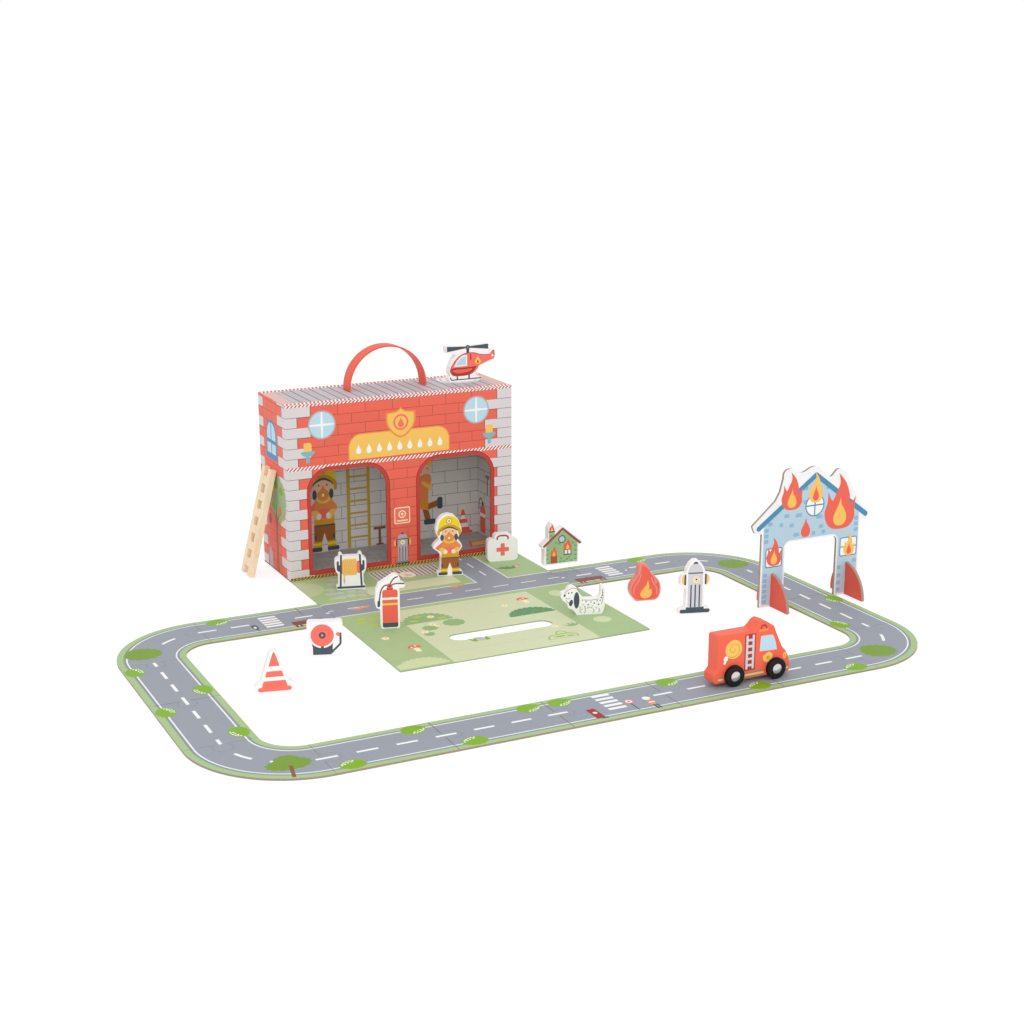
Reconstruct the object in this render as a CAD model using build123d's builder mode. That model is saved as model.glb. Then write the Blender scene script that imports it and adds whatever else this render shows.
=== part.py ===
from build123d import *
import math
import os

# Toy fire station play set: a printed board case with a strap handle, a play mat hinged to its front
# edge, a ring of jigsaw road tiles, thick cut-out toys, a wheeled fire truck and a burning house.
# Millimetres. Origin at the centre of the case's underside, X to the right, Y to the back, Z up.

# Case
case_width = 300
case_depth = 100
case_height = 218
board = 2

bay_width = 98
bay_sill = 10
bay_head = 134
bay_corner_radius = 26
bay_offset = 71.5

# Strap handle
strap_width = 21
strap_thickness = 2
strap_radius = 52
strap_rise = 2
strap_x = 3
strap_y = 10
strap_clearance = 0.2
stop_ear = 4
stop_height = 6

# Play mat
mat_board = 2
fold_clearance = 0.3
crease_gap = 0.3
mat_tail = 28.5
slot_length = 125
slot_width = 24

# Road tiles
tile_length = 120
tile_width = 72
tile_board = 2
corner_size = 108.5
ring_setback = 101
knob_radius = 9.5
knob_reach = 18
knob_neck = 11
knob_clearance = 0.2
tile_gap = 0.3

# Cut-out toys
toy_thickness = 10

hose_reel_width = 37.3
hose_reel_height = 45.5
hose_reel_radius = 1.1

extinguisher_base = 20.6
extinguisher_height = 62.2
extinguisher_radius = 1.6

firefighter_base = 32
firefighter_height = 78.3
firefighter_radius = 1.8

kit_width = 39.5
kit_height = 29.2
kit_corner_radius = 5
kit_grip_width = 22
kit_grip_rise = 6.5
kit_grip_radius = 4

small_house_base = 46.8
small_house_height = 55.5
small_house_radius = 0.9

dog_base = 29
dog_height = 34.5
dog_radius = 1.5

flame_base = 22
flame_height = 45

hydrant_base = 37.7
hydrant_height = 63.6
hydrant_radius = 1.3

helicopter_skid = 43
helicopter_height = 46.8
helicopter_radius = 1

cone_base = 39.5
cone_height = 44.2
cone_radius = 1.6

bell_width = 38
bell_height = 38.8
bell_corner_radius = 3

# Ladder
ladder_width = 33
ladder_length = 135.5
ladder_thickness = 7
ladder_lean = 14.2
ladder_window_width = 13.5
ladder_window_height = 10.5
ladder_pitch = 20.8
ladder_windows = 5
ladder_clearance = 0.3

# Fire truck
truck_length = 94
truck_height = 59.8
truck_width = 18
truck_radius = 2.4
truck_edge_radius = 1.8
truck_underside = 3.6
truck_aside = 3
wheel_radius = 11
wheel_width = 5
wheel_edge_radius = 0.8
wheel_clearance = 0.3
road_clearance = 0.3
axle_radius = 1.5
axle_clearance = 0.05
hub_radius = 5.2
hub_seat_depth = 1.2
hub_dome = 1

# Burning house
house_leg = 33
house_doorway_height = 74.5
house_doorway_radius = 7
house_wall_height = 88.5
house_peak = 161.5
house_board = 3.5
house_eave_radius = 2
foot_height = 40
foot_front_reach = 35.5
foot_back_reach = 24.5
lap_clearance = 0.2
doorway_left_gap = 0.3
doorway_right_gap = 1.2

overrun = 5

# Places and outlines, as shares of the sizes named beside them
# x as a share of the case's width from the middle, y as a share of the mat's reach from the case
hose_reel_place_share = (-0.38, 0.1715)
extinguisher_place_share = (-0.3937, 0.6201)
firefighter_place_share = (0.0567, 0.1815)
kit_place_share = (0.328, 0.1034)
small_house_place_share = (0.5273, 0.2206)
dog_place_share = (0.331, 0.7776)
flame_place_share = (0.632, 0.7235)
hydrant_place_share = (0.6917, 0.9091)
hose_reel_turn = -16
extinguisher_turn = -16
firefighter_turn = -14
kit_turn = -11
small_house_turn = -4
dog_turn = -18
flame_turn = -14
hydrant_turn = -17
cone_turn = -12
bell_turn = -20
# x as a share of half the ring's width, y as a share of its depth from its back edge
cone_place_share = (-0.7422, 0.5162)
bell_place_share = (-0.5393, 0.3446)
# x as a share of the case's width, y as a share of its depth
helicopter_place_share = (0.298, 0.042)
ladder_place_share = 0.035
# x as a share of the ring's width, y as a share of its depth, from the ring's middle
truck_place_share = 0.1928
burning_house_place_share = -0.0142

# Right half of an outline: x as a share of the width from the middle, y as a share of the height
hose_reel_half_shares = [
    (0.46, 0), (0.46, 0.085), (0.4, 0.115), (0.4, 0.42), (0.47, 0.49), (0.5, 0.6), (0.5, 0.8),
    (0.44, 0.86), (0.37, 0.87), (0.37, 0.96), (0.32, 1), (0.26, 0.96), (0.24, 0.905),
]
hydrant_half_shares = [
    (0.5, 0), (0.5, 0.09), (0.4, 0.1), (0.3, 0.135), (0.285, 0.48), (0.4, 0.495), (0.465, 0.55),
    (0.465, 0.66), (0.4, 0.73), (0.3, 0.745), (0.275, 0.84), (0.18, 0.94), (0.07, 1),
]
cone_half_shares = [(0.5, 0), (0.5, 0.17), (0.43, 0.23), (0.36, 0.25), (0.1, 0.96), (0.04, 1)]

# Whole outlines from the left end of the base: x as a share of the base, y as a share of the height
extinguisher_shares = [
    (0, 0), (-0.02, 0.365), (-0.24, 0.395), (-0.3, 0.49), (-0.25, 0.71), (-0.1, 0.83),
    (0.74, 1), (0.98, 0.97), (1.08, 0.91), (0.97, 0.855), (1.25, 0.83),
    (1.36, 0.795), (1.25, 0.75), (0.96, 0.745), (1.03, 0.69), (1.03, 0),
]
firefighter_shares = [
    (0, 0), (0.01, 0.055), (0.12, 0.085), (0.15, 0.32), (0.05, 0.4), (-0.175, 0.465),
    (-0.1, 0.52), (0.1, 0.6), (-0.03, 0.7), (-0.04, 0.77), (0.03, 0.89), (0.2, 0.97),
    (0.44, 1), (0.68, 0.97), (0.86, 0.89), (0.95, 0.77), (0.97, 0.71), (0.8, 0.6),
    (0.95, 0.51), (0.98, 0.46), (0.84, 0.38), (0.84, 0.09), (0.99, 0.06), (1, 0),
]
small_house_shares = [
    (0, 0), (0, 0.4), (-0.07, 0.41), (-0.09, 0.47), (0.107, 0.61), (0.107, 0.8), (0.12, 0.89),
    (0.21, 1), (0.3, 0.88), (0.315, 0.755), (0.52, 0.885), (1.11, 0.49), (1.09, 0.43), (1, 0.42), (1, 0),
]
dog_shares = [
    (0, 0), (-0.14, 0.19), (-0.33, 0.25), (-0.37, 0.41), (-0.54, 0.5), (-0.645, 0.66),
    (-0.6, 0.76), (-0.43, 0.81), (-0.32, 0.95), (-0.16, 0.99), (0.03, 0.88), (0.16, 0.66),
    (0.3, 0.53), (0.84, 0.53), (0.94, 0.66), (0.96, 0.95), (1.05, 1), (1.13, 0.84),
    (1.15, 0.45), (1.08, 0.1), (1, 0),
]
flame_left_shares = [
    (0, 0), (-0.2, 0.08), (-0.38, 0.29), (-0.3, 0.47), (-0.06, 0.62), (0.08, 0.8), (0.1, 0.93),
    (0.25, 1),
]
flame_right_shares = [
    (0.25, 1), (0.5, 0.96), (0.68, 0.87), (0.8, 0.72), (1, 0.64), (1.24, 0.5), (1.33, 0.3),
    (1.22, 0.08), (1, 0),
]
helicopter_shares = [
    (0, 0), (-0.065, 0.115), (0.03, 0.15), (-0.03, 0.27), (0, 0.42), (0.08, 0.59), (0.21, 0.73),
    (-0.1, 0.79), (-0.12, 0.985), (0.5, 0.95), (0.59, 1), (0.68, 0.95), (1.29, 0.97),
    (1.29, 0.75), (1.37, 0.82), (1.48, 0.81), (1.49, 0.55), (1.43, 0.49), (1.02, 0.39),
    (0.96, 0.27), (0.85, 0.15), (1.02, 0.055), (1, 0),
]
# x as a share of the truck's length, y as a share of its height, from the rear bumper's foot
truck_shares = [
    (0.03, 0), (0, 0.05), (0, 0.17), (0.045, 0.25), (0.045, 0.85), (0.495, 0.85), (0.535, 0.9),
    (0.575, 0.975), (0.62, 1), (0.69, 0.955), (0.775, 0.865), (0.795, 0.78), (0.89, 0.463),
    (0.93, 0.403), (0.965, 0.31), (1, 0.12), (1, 0.05), (0.975, 0),
]
rear_wheel_share = 0.251
front_wheel_share = 0.788
# x as a share of the width over the legs, y as a share of the peak's height
house_roof_left_shares = [(-0.1, 0.615), (0.12, 0.776), (0.165, 0.84), (0.195, 0.94)]
house_flame_shares = [
    (0.195, 0.94), (0.225, 0.997), (0.28, 1), (0.337, 0.975), (0.385, 0.966), (0.44, 0.985),
    (0.506, 1), (0.56, 0.982), (0.62, 0.935), (0.675, 0.909), (0.705, 0.93), (0.74, 0.957),
    (0.795, 0.951), (0.85, 0.9),
]
house_roof_right_shares = [(0.85, 0.9), (0.923, 0.778), (0.983, 0.682), (1.085, 0.615)]
house_eave_left_share = (-0.07, 0.56)
house_eave_right_share = (1.06, 0.553)
foot_bulge_share = (0.71, 0.67)

# Sizes worked out from the ones above
half_width = case_width / 2
half_depth = case_depth / 2
fold_y = -half_depth - fold_clearance
mat_front = case_height - mat_board + fold_clearance
mat_top = case_depth + 2 * fold_clearance
mat_reach = mat_front + mat_top + mat_tail
ring_half_width = (5 * tile_length + 2 * corner_size) / 2
ring_depth = 2 * tile_length + 2 * corner_size
ring_back = -half_depth - ring_setback
ring_front = ring_back - ring_depth
front_row_y = ring_front + tile_width / 2
back_row_y = ring_back - tile_width / 2
side_column_x = ring_half_width - tile_width / 2
house_doorway = tile_width + doorway_left_gap + doorway_right_gap
house_width = 2 * house_leg + house_doorway


def save(part, name):
    """Names a piece and writes its file."""
    part.label = name
    export_step(part, f"parts/{name}.step")


def scaled(shares, width, height):
    """Turns a table of shares into points."""
    return [(x * width, y * height) for x, y in shares]


def both_halves(shares, width, height):
    """The whole outline from its right half."""
    right = scaled(shares, width, height)
    left = [(-x, y) for x, y in reversed(right)]
    return right + left


def upright(x, y, z, turn):
    """An upright plane that faces the front, turned about the vertical; its x runs to the right."""
    angle = math.radians(turn)
    across = (math.cos(angle), math.sin(angle), 0)
    facing = (math.sin(angle), -math.cos(angle), 0)
    return Plane(origin=(x, y, z), x_dir=across, z_dir=facing)


def mat_place(place_share, z, turn, inset=0):
    """A toy's front face, placed on or beside the mat; inset moves its middle off the base's end."""
    x_share, y_share = place_share
    x = x_share * case_width + inset * math.cos(math.radians(turn))
    y = fold_y - y_share * mat_reach + inset * math.sin(math.radians(turn))
    return upright(x, y, z, turn)


def ring_place(place_share, turn, inset):
    """A toy's front face on the floor inside the ring, with its middle moved off the base's end."""
    x_share, y_share = place_share
    x = x_share * ring_half_width + inset * math.cos(math.radians(turn))
    y = ring_back - y_share * ring_depth + inset * math.sin(math.radians(turn))
    return upright(x, y, 0, turn)


def cut_out(points, radius, face):
    """A toy sawn from a thick board along a rounded outline."""
    with BuildPart() as toy:
        with BuildSketch(face):
            with BuildLine():
                FilletPolyline(*points, radius=radius, close=True)
            make_face()
        extrude(amount=-toy_thickness)
    return toy.part


def flat_panel(width, length, thickness, far_y, slot=None):
    """A mat panel whose back edge lies at far_y, with an optional (x, y) for the handle slot."""
    with BuildPart() as panel:
        with BuildSketch():
            with Locations((0, far_y - length / 2)):
                Rectangle(width, length)
            if slot:
                with Locations(slot):
                    SlotOverall(slot_length, slot_width, mode=Mode.SUBTRACT)
        extrude(amount=thickness)
    return panel.part


def knob(place, heading, grow, mode):
    """The jigsaw knob at a joint between tiles, pointing along its heading."""
    with Locations(Location(place, heading)):
        with Locations((knob_reach - knob_radius, 0)):
            Circle(knob_radius + grow, mode=mode)
        with Locations(((knob_reach - knob_radius) / 2, 0)):
            Rectangle(knob_reach - knob_radius, knob_neck + 2 * grow, mode=mode)


def straight_tile(centre, length, turn, knobs, sockets):
    """A straight road tile with its knobs and the sockets for its neighbours' knobs."""
    with BuildPart() as tile:
        with BuildSketch():
            with Locations(Location(centre, turn)):
                Rectangle(length, tile_width)
            for place, heading in knobs:
                knob(place, heading, 0, Mode.ADD)
            for place, heading in sockets:
                knob(place, heading, knob_clearance, Mode.SUBTRACT)
        extrude(amount=tile_board)
    return tile.part


def corner_tile(pivot, side_x, side_y, knobs, sockets):
    """A quarter turn of road about its pivot, spreading towards side_x and side_y."""
    middle = (pivot[0] + side_x * corner_size / 2, pivot[1] + side_y * corner_size / 2)
    with BuildPart() as tile:
        with BuildSketch():
            with Locations(pivot):
                Circle(corner_size)
                Circle(corner_size - tile_width, mode=Mode.SUBTRACT)
            with Locations(middle):
                Rectangle(corner_size, corner_size, mode=Mode.INTERSECT)
            for place, heading in knobs:
                knob(place, heading, 0, Mode.ADD)
            for place, heading in sockets:
                knob(place, heading, knob_clearance, Mode.SUBTRACT)
        extrude(amount=tile_board)
    return tile.part


def plane_part(thickness, plane, width, height, centre):
    """A plain board panel on a plane."""
    with BuildPart() as panel:
        with BuildSketch(plane):
            with Locations(centre):
                Rectangle(width, height)
        extrude(amount=thickness)
    return panel.part


def foot(x, back_y):
    """A fin-shaped foot that laps into a slot of the burning house's leg."""
    front_y = back_y - house_board
    half_slot = house_board / 2 + lap_clearance / 2
    middle_y = front_y + house_board / 2
    bulge_x, bulge_z = foot_bulge_share
    front_tip = middle_y - foot_front_reach
    back_tip = middle_y + foot_back_reach
    front_bulge = (middle_y - bulge_x * foot_front_reach, bulge_z * foot_height)
    back_bulge = (middle_y + bulge_x * foot_back_reach, bulge_z * foot_height)
    with BuildPart() as fin:
        with BuildSketch(Plane.YZ.offset(x - house_board / 2)):
            with BuildLine():
                Line((front_tip, 0), (back_tip, 0))
                ThreePointArc((back_tip, 0), back_bulge, (middle_y, foot_height))
                ThreePointArc((middle_y, foot_height), front_bulge, (front_tip, 0))
            make_face()
            with Locations((middle_y, foot_height)):
                Rectangle(2 * half_slot, foot_height, mode=Mode.SUBTRACT)
        extrude(amount=house_board)
    return fin.part


def wheel(seat):
    """A wheel whose inner face lies on the seat plane, with a bore and a seat for its hubcap."""
    with BuildPart() as disc:
        with BuildSketch(seat):
            Circle(wheel_radius)
        extrude(amount=wheel_width)
        fillet(disc.edges().filter_by(GeomType.CIRCLE), radius=wheel_edge_radius)
        with BuildSketch(seat):
            Circle(axle_radius)
        extrude(amount=wheel_width, mode=Mode.SUBTRACT)
        with BuildSketch(seat.offset(wheel_width - hub_seat_depth)):
            Circle(hub_radius)
        extrude(amount=hub_seat_depth + overrun, mode=Mode.SUBTRACT)
    return disc.part


def hubcap_profile():
    """Half the section of a domed hubcap, from its axis outwards, to be revolved about y."""
    dome_radius = (hub_radius**2 + hub_dome**2) / (2 * hub_dome)
    half_angle = math.asin(hub_radius / dome_radius) / 2
    crown = hub_seat_depth + hub_dome
    shoulder_drop = dome_radius - dome_radius * math.cos(half_angle)
    shoulder = (dome_radius * math.sin(half_angle), crown - shoulder_drop)
    Polyline((0, crown), (0, 0), (hub_radius, 0), (hub_radius, hub_seat_depth))
    ThreePointArc((hub_radius, hub_seat_depth), shoulder, (0, crown))


os.makedirs("parts", exist_ok=True)

# Case panels
save(
    plane_part(board, Plane.XY, case_width - 2 * board, case_depth - 2 * board, (0, 0)),
    "case_floor",
)

with BuildPart() as roof:
    with BuildSketch(Plane.XY.offset(case_height - board)):
        Rectangle(case_width - 2 * board, case_depth - 2 * board)
        with Locations(
            (strap_x - strap_radius + strap_thickness / 2, strap_y),
            (strap_x + strap_radius - strap_thickness / 2, strap_y),
        ):
            Rectangle(
                strap_thickness + 2 * strap_clearance,
                strap_width + 2 * strap_clearance,
                mode=Mode.SUBTRACT,
            )
    extrude(amount=board)
save(roof.part, "case_roof")

back_plane = Plane.XZ.offset(board - half_depth)
save(plane_part(-board, back_plane, case_width, case_height, (0, case_height / 2)), "case_back_wall")

left_plane = Plane.YZ.offset(-half_width)
right_plane = Plane.YZ.offset(half_width - board)
side_depth = case_depth - 2 * board
save(plane_part(board, left_plane, side_depth, case_height, (0, case_height / 2)), "case_left_wall")
save(plane_part(board, right_plane, side_depth, case_height, (0, case_height / 2)), "case_right_wall")

with BuildPart() as front_wall:
    with BuildSketch(Plane.XZ.offset(half_depth)):
        with Locations((0, case_height / 2)):
            Rectangle(case_width, case_height)
    extrude(amount=-board)
    with BuildSketch(Plane.XZ.offset(half_depth)) as bays:
        with Locations(
            (-bay_offset, (bay_sill + bay_head) / 2),
            (bay_offset, (bay_sill + bay_head) / 2),
        ):
            Rectangle(bay_width, bay_head - bay_sill)
        fillet(bays.vertices().group_by(Axis.Y)[-1], radius=bay_corner_radius)
    extrude(amount=-board, mode=Mode.SUBTRACT)
save(front_wall.part, "case_front_wall")

# Strap handle: an arch through the roof, held by wide ends under it
arch_z = case_height + strap_rise
stop_z = case_height - board
with BuildPart() as strap:
    with BuildSketch(Plane.XZ.offset(-strap_y)):
        with Locations((strap_x, arch_z)):
            Circle(strap_radius)
            Circle(strap_radius - strap_thickness, mode=Mode.SUBTRACT)
        with Locations((strap_x, arch_z - strap_radius)):
            Rectangle(4 * strap_radius, 2 * strap_radius, mode=Mode.SUBTRACT)
        with Locations(
            (strap_x - strap_radius + strap_thickness / 2, (arch_z + stop_z - stop_height) / 2),
            (strap_x + strap_radius - strap_thickness / 2, (arch_z + stop_z - stop_height) / 2),
        ):
            Rectangle(strap_thickness, arch_z - stop_z + stop_height)
    extrude(amount=strap_width / 2, both=True)
    with BuildSketch(Plane.XY.offset(stop_z - stop_height)):
        with Locations(
            (strap_x - strap_radius + strap_thickness / 2, strap_y),
            (strap_x + strap_radius - strap_thickness / 2, strap_y),
        ):
            Rectangle(strap_thickness, strap_width + 2 * stop_ear)
    extrude(amount=stop_height)
save(strap.part, "handle_strap")

# Play mat, laid out flat in front of the case
crease = crease_gap / 2
save(flat_panel(case_width, mat_front - crease_gap, mat_board, fold_y - crease), "mat_front_panel")
slot_y = fold_y - mat_front - half_depth - fold_clearance - strap_y
top_y = fold_y - mat_front - crease
save(
    flat_panel(case_width, mat_top - crease_gap, mat_board, top_y, slot=(0, slot_y)),
    "mat_top_panel",
)
save(
    flat_panel(case_width, mat_tail - crease, mat_board, fold_y - mat_front - mat_top - crease),
    "mat_tail_panel",
)

# Road ring
east, north, west, south = 0, 90, 180, 270
row_start = -ring_half_width + corner_size
column_start = ring_front + corner_size
front_joints = [(row_start + n * tile_length, front_row_y) for n in range(6)]
front_headings = [east, east, east, west, west, west]
left_joints = [(-side_column_x, column_start + n * tile_length) for n in range(3)]
right_joints = [(side_column_x, column_start + n * tile_length) for n in range(3)]
back_left_joint = (row_start, back_row_y)
back_right_joint = (-row_start, back_row_y)

for n in range(5):
    near, far = front_joints[n], front_joints[n + 1]
    plugs, sockets = [], []
    if front_headings[n] == west:
        plugs.append((near, west))
    else:
        sockets.append((near, east))
    if front_headings[n + 1] == east:
        plugs.append((far, east))
    else:
        sockets.append((far, west))
    centre = ((near[0] + far[0]) / 2, front_row_y)
    save(straight_tile(centre, tile_length, east, plugs, sockets), f"road_front_{n + 1}")

for side, joints in (("left", left_joints), ("right", right_joints)):
    for n in range(2):
        near, far = joints[n], joints[n + 1]
        centre = (near[0], (near[1] + far[1]) / 2)
        tile = straight_tile(centre, tile_length, north, [(near, south)], [(far, south)])
        save(tile, f"road_{side}_{n + 1}")

back_length = -half_width - tile_gap - row_start
back_centre = row_start + back_length / 2
save(
    straight_tile((back_centre, back_row_y), back_length, east, [(back_left_joint, west)], []),
    "road_back_left",
)
save(
    straight_tile((-back_centre, back_row_y), back_length, east, [(back_right_joint, east)], []),
    "road_back_right",
)

back_pivot_y = ring_back - corner_size
save(
    corner_tile((row_start, column_start), -1, -1, [(front_joints[0], east)], [(left_joints[0], south)]),
    "road_corner_front_left",
)
save(
    corner_tile((-row_start, column_start), 1, -1, [(front_joints[5], west)], [(right_joints[0], south)]),
    "road_corner_front_right",
)
save(
    corner_tile((row_start, back_pivot_y), -1, 1, [(left_joints[2], south)], [(back_left_joint, west)]),
    "road_corner_back_left",
)
save(
    corner_tile((-row_start, back_pivot_y), 1, 1, [(right_joints[2], south)], [(back_right_joint, east)]),
    "road_corner_back_right",
)

# Cut-out toys
reel_outline = both_halves(hose_reel_half_shares, hose_reel_width, hose_reel_height)
reel_face = mat_place(hose_reel_place_share, mat_board, hose_reel_turn, hose_reel_width / 2)
save(cut_out(reel_outline, hose_reel_radius, reel_face), "hose_reel")

hydrant_outline = both_halves(hydrant_half_shares, hydrant_base, hydrant_height)
hydrant_face = mat_place(hydrant_place_share, 0, hydrant_turn, hydrant_base / 2)
save(cut_out(hydrant_outline, hydrant_radius, hydrant_face), "hydrant")

cone_outline = both_halves(cone_half_shares, cone_base, cone_height)
cone_face = ring_place(cone_place_share, cone_turn, cone_base / 2)
save(cut_out(cone_outline, cone_radius, cone_face), "traffic_cone")

extinguisher_outline = scaled(extinguisher_shares, extinguisher_base, extinguisher_height)
extinguisher_face = mat_place(extinguisher_place_share, mat_board, extinguisher_turn)
save(cut_out(extinguisher_outline, extinguisher_radius, extinguisher_face), "fire_extinguisher")

firefighter_outline = scaled(firefighter_shares, firefighter_base, firefighter_height)
firefighter_face = mat_place(firefighter_place_share, mat_board, firefighter_turn)
save(cut_out(firefighter_outline, firefighter_radius, firefighter_face), "firefighter")

small_house_outline = scaled(small_house_shares, small_house_base, small_house_height)
small_house_face = mat_place(small_house_place_share, 0, small_house_turn)
save(cut_out(small_house_outline, small_house_radius, small_house_face), "small_house")

dog_outline = scaled(dog_shares, dog_base, dog_height)
dog_face = mat_place(dog_place_share, mat_board, dog_turn)
save(cut_out(dog_outline, dog_radius, dog_face), "dog")

helicopter_outline = scaled(helicopter_shares, helicopter_skid, helicopter_height)
helicopter_x, helicopter_y = helicopter_place_share
helicopter_face = upright(helicopter_x * case_width, helicopter_y * case_depth, case_height, 0)
save(cut_out(helicopter_outline, helicopter_radius, helicopter_face), "helicopter")

with BuildPart() as flame:
    with BuildSketch(mat_place(flame_place_share, 0, flame_turn)):
        with BuildLine():
            Line((0, 0), (flame_base, 0))
            Spline(*scaled(flame_left_shares, flame_base, flame_height))
            Spline(*scaled(flame_right_shares, flame_base, flame_height))
        make_face()
    extrude(amount=-toy_thickness)
save(flame.part, "flame_block")

with BuildPart() as kit:
    with BuildSketch(mat_place(kit_place_share, mat_board, kit_turn, kit_width / 2)) as kit_face:
        with Locations((0, kit_height / 2)):
            RectangleRounded(kit_width, kit_height, kit_corner_radius)
        with Locations((0, kit_height)):
            RectangleRounded(kit_grip_width, 2 * kit_grip_rise, kit_grip_radius)
    extrude(amount=-toy_thickness)
save(kit.part, "first_aid_kit")

with BuildPart() as bell:
    with BuildSketch(ring_place(bell_place_share, bell_turn, bell_width / 2)):
        with Locations((0, bell_height / 2)):
            RectangleRounded(bell_width, bell_height, bell_corner_radius)
    extrude(amount=-toy_thickness)
save(bell.part, "alarm_bell")

# Ladder, leaning on the case's left wall
lean = math.radians(ladder_lean)
ladder_x = -half_width - ladder_clearance - ladder_length * math.sin(lean)
ladder_plane = Plane(
    origin=(ladder_x, ladder_place_share * case_depth, 0),
    x_dir=(0, -1, 0),
    z_dir=(-math.cos(lean), 0, math.sin(lean)),
)
window_span = (ladder_windows - 1) * ladder_pitch
with BuildPart() as ladder:
    with BuildSketch(ladder_plane):
        with Locations((0, ladder_length / 2)):
            Rectangle(ladder_width, ladder_length)
            with GridLocations(ladder_width, ladder_pitch, 1, ladder_windows):
                Rectangle(ladder_window_width, ladder_window_height, mode=Mode.SUBTRACT)
        notch = (ladder_length - window_span) / 2 - ladder_pitch + ladder_window_height / 2
        with Locations((0, 0), (0, ladder_length)):
            Rectangle(ladder_window_width, 2 * notch, mode=Mode.SUBTRACT)
    extrude(amount=ladder_thickness)
save(ladder.part, "ladder")

# Fire truck
truck_x = truck_place_share * 2 * ring_half_width - truck_length / 2
truck_z = tile_board + road_clearance + truck_underside
axle_z = tile_board + road_clearance + wheel_radius
truck_y = front_row_y - truck_aside
truck_front_y = truck_y - truck_width / 2
axle_places = [
    (truck_x + rear_wheel_share * truck_length, axle_z),
    (truck_x + front_wheel_share * truck_length, axle_z),
]
with BuildPart() as truck:
    with BuildSketch(Plane.XZ.offset(-truck_front_y)):
        with BuildLine():
            profile = [
                (truck_x + x, truck_z + z) for x, z in scaled(truck_shares, truck_length, truck_height)
            ]
            FilletPolyline(*profile, radius=truck_radius, close=True)
        make_face()
    extrude(amount=-truck_width)
    faces = truck.faces().filter_by(Axis.Y)
    fillet(faces.edges(), radius=truck_edge_radius)
    with BuildSketch(Plane.XZ.offset(-truck_front_y + overrun)):
        with Locations(*axle_places):
            Circle(axle_radius + axle_clearance)
    extrude(amount=-truck_width - 2 * overrun, mode=Mode.SUBTRACT)
save(truck.part, "truck_body")

wheel_seat_y = truck_width / 2 + wheel_clearance
cap_seat_y = wheel_seat_y + wheel_width - hub_seat_depth
for (x, z), end in zip(axle_places, ("rear", "front")):
    with BuildPart() as axle:
        with BuildSketch(Plane(origin=(x, truck_y, z), x_dir=(1, 0, 0), z_dir=(0, 1, 0))):
            Circle(axle_radius)
        extrude(amount=cap_seat_y, both=True)
    save(axle.part, f"{end}_axle")
    for outward, side in ((-1, "near"), (1, "far")):
        seat_place = (x, truck_y + outward * wheel_seat_y, z)
        seat = Plane(origin=seat_place, x_dir=(1, 0, 0), z_dir=(0, outward, 0))
        save(wheel(seat), f"{end}_wheel_{side}")
    with BuildPart() as caps:
        for outward in (-1, 1):
            cap_place = (x, truck_y + outward * cap_seat_y, z)
            with BuildSketch(Plane(origin=cap_place, x_dir=(outward, 0, 0), z_dir=(0, 0, 1))):
                with BuildLine():
                    hubcap_profile()
                make_face()
            revolve(axis=Axis(cap_place, (0, outward, 0)))
    save(caps.part, f"{end}_hubcaps")

# Burning house, standing over the right side of the ring
house_y = ring_back - ring_depth / 2 + burning_house_place_share * ring_depth
house_left = side_column_x - tile_width / 2 - doorway_left_gap - house_leg
leg_centres = [house_left + house_leg / 2, house_left + house_width - house_leg / 2]
eave_left = (house_eave_left_share[0] * house_width, house_eave_left_share[1] * house_peak)
eave_right = (house_eave_right_share[0] * house_width, house_eave_right_share[1] * house_peak)
roof_left = scaled(house_roof_left_shares, house_width, house_peak)
flames = scaled(house_flame_shares, house_width, house_peak)
roof_right = scaled(house_roof_right_shares, house_width, house_peak)
house_plane = upright(house_left, house_y, 0, 0)
lap_height = foot_height / 2 + lap_clearance
with BuildPart() as house:
    with BuildSketch(house_plane) as house_face:
        with BuildLine():
            Polyline((0, 0), (house_width, 0), (house_width, house_wall_height), eave_right, roof_right[-1])
            Polyline(*roof_right)
            Spline(*flames)
            Polyline(*reversed(roof_left))
            Polyline(roof_left[0], eave_left, (0, house_wall_height), (0, 0))
        make_face()
        eaves = house_face.vertices().filter_by(
            lambda v: abs(v.X - house_width / 2) > house_width / 2 + house_eave_radius
        )
        fillet(eaves, radius=house_eave_radius)
        with Locations((house_width / 2, 0)):
            Rectangle(
                house_doorway, 2 * (house_doorway_height - house_doorway_radius), mode=Mode.SUBTRACT
            )
            RectangleRounded(
                house_doorway,
                2 * house_doorway_height,
                house_doorway_radius,
                mode=Mode.SUBTRACT,
            )
        with Locations((house_leg / 2, 0), (house_width - house_leg / 2, 0)):
            Rectangle(house_board + lap_clearance, 2 * lap_height, mode=Mode.SUBTRACT)
    extrude(amount=-house_board)
save(house.part, "burning_house_panel")
save(foot(leg_centres[0], house_y + house_board), "burning_house_foot_left")
save(foot(leg_centres[1], house_y + house_board), "burning_house_foot_right")
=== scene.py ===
"""Looks for a toy fire station play set: case, mat, road ring, cut-out toys, truck and burning house."""

import math
import random

import bpy
from mathutils import Matrix, Vector


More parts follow.
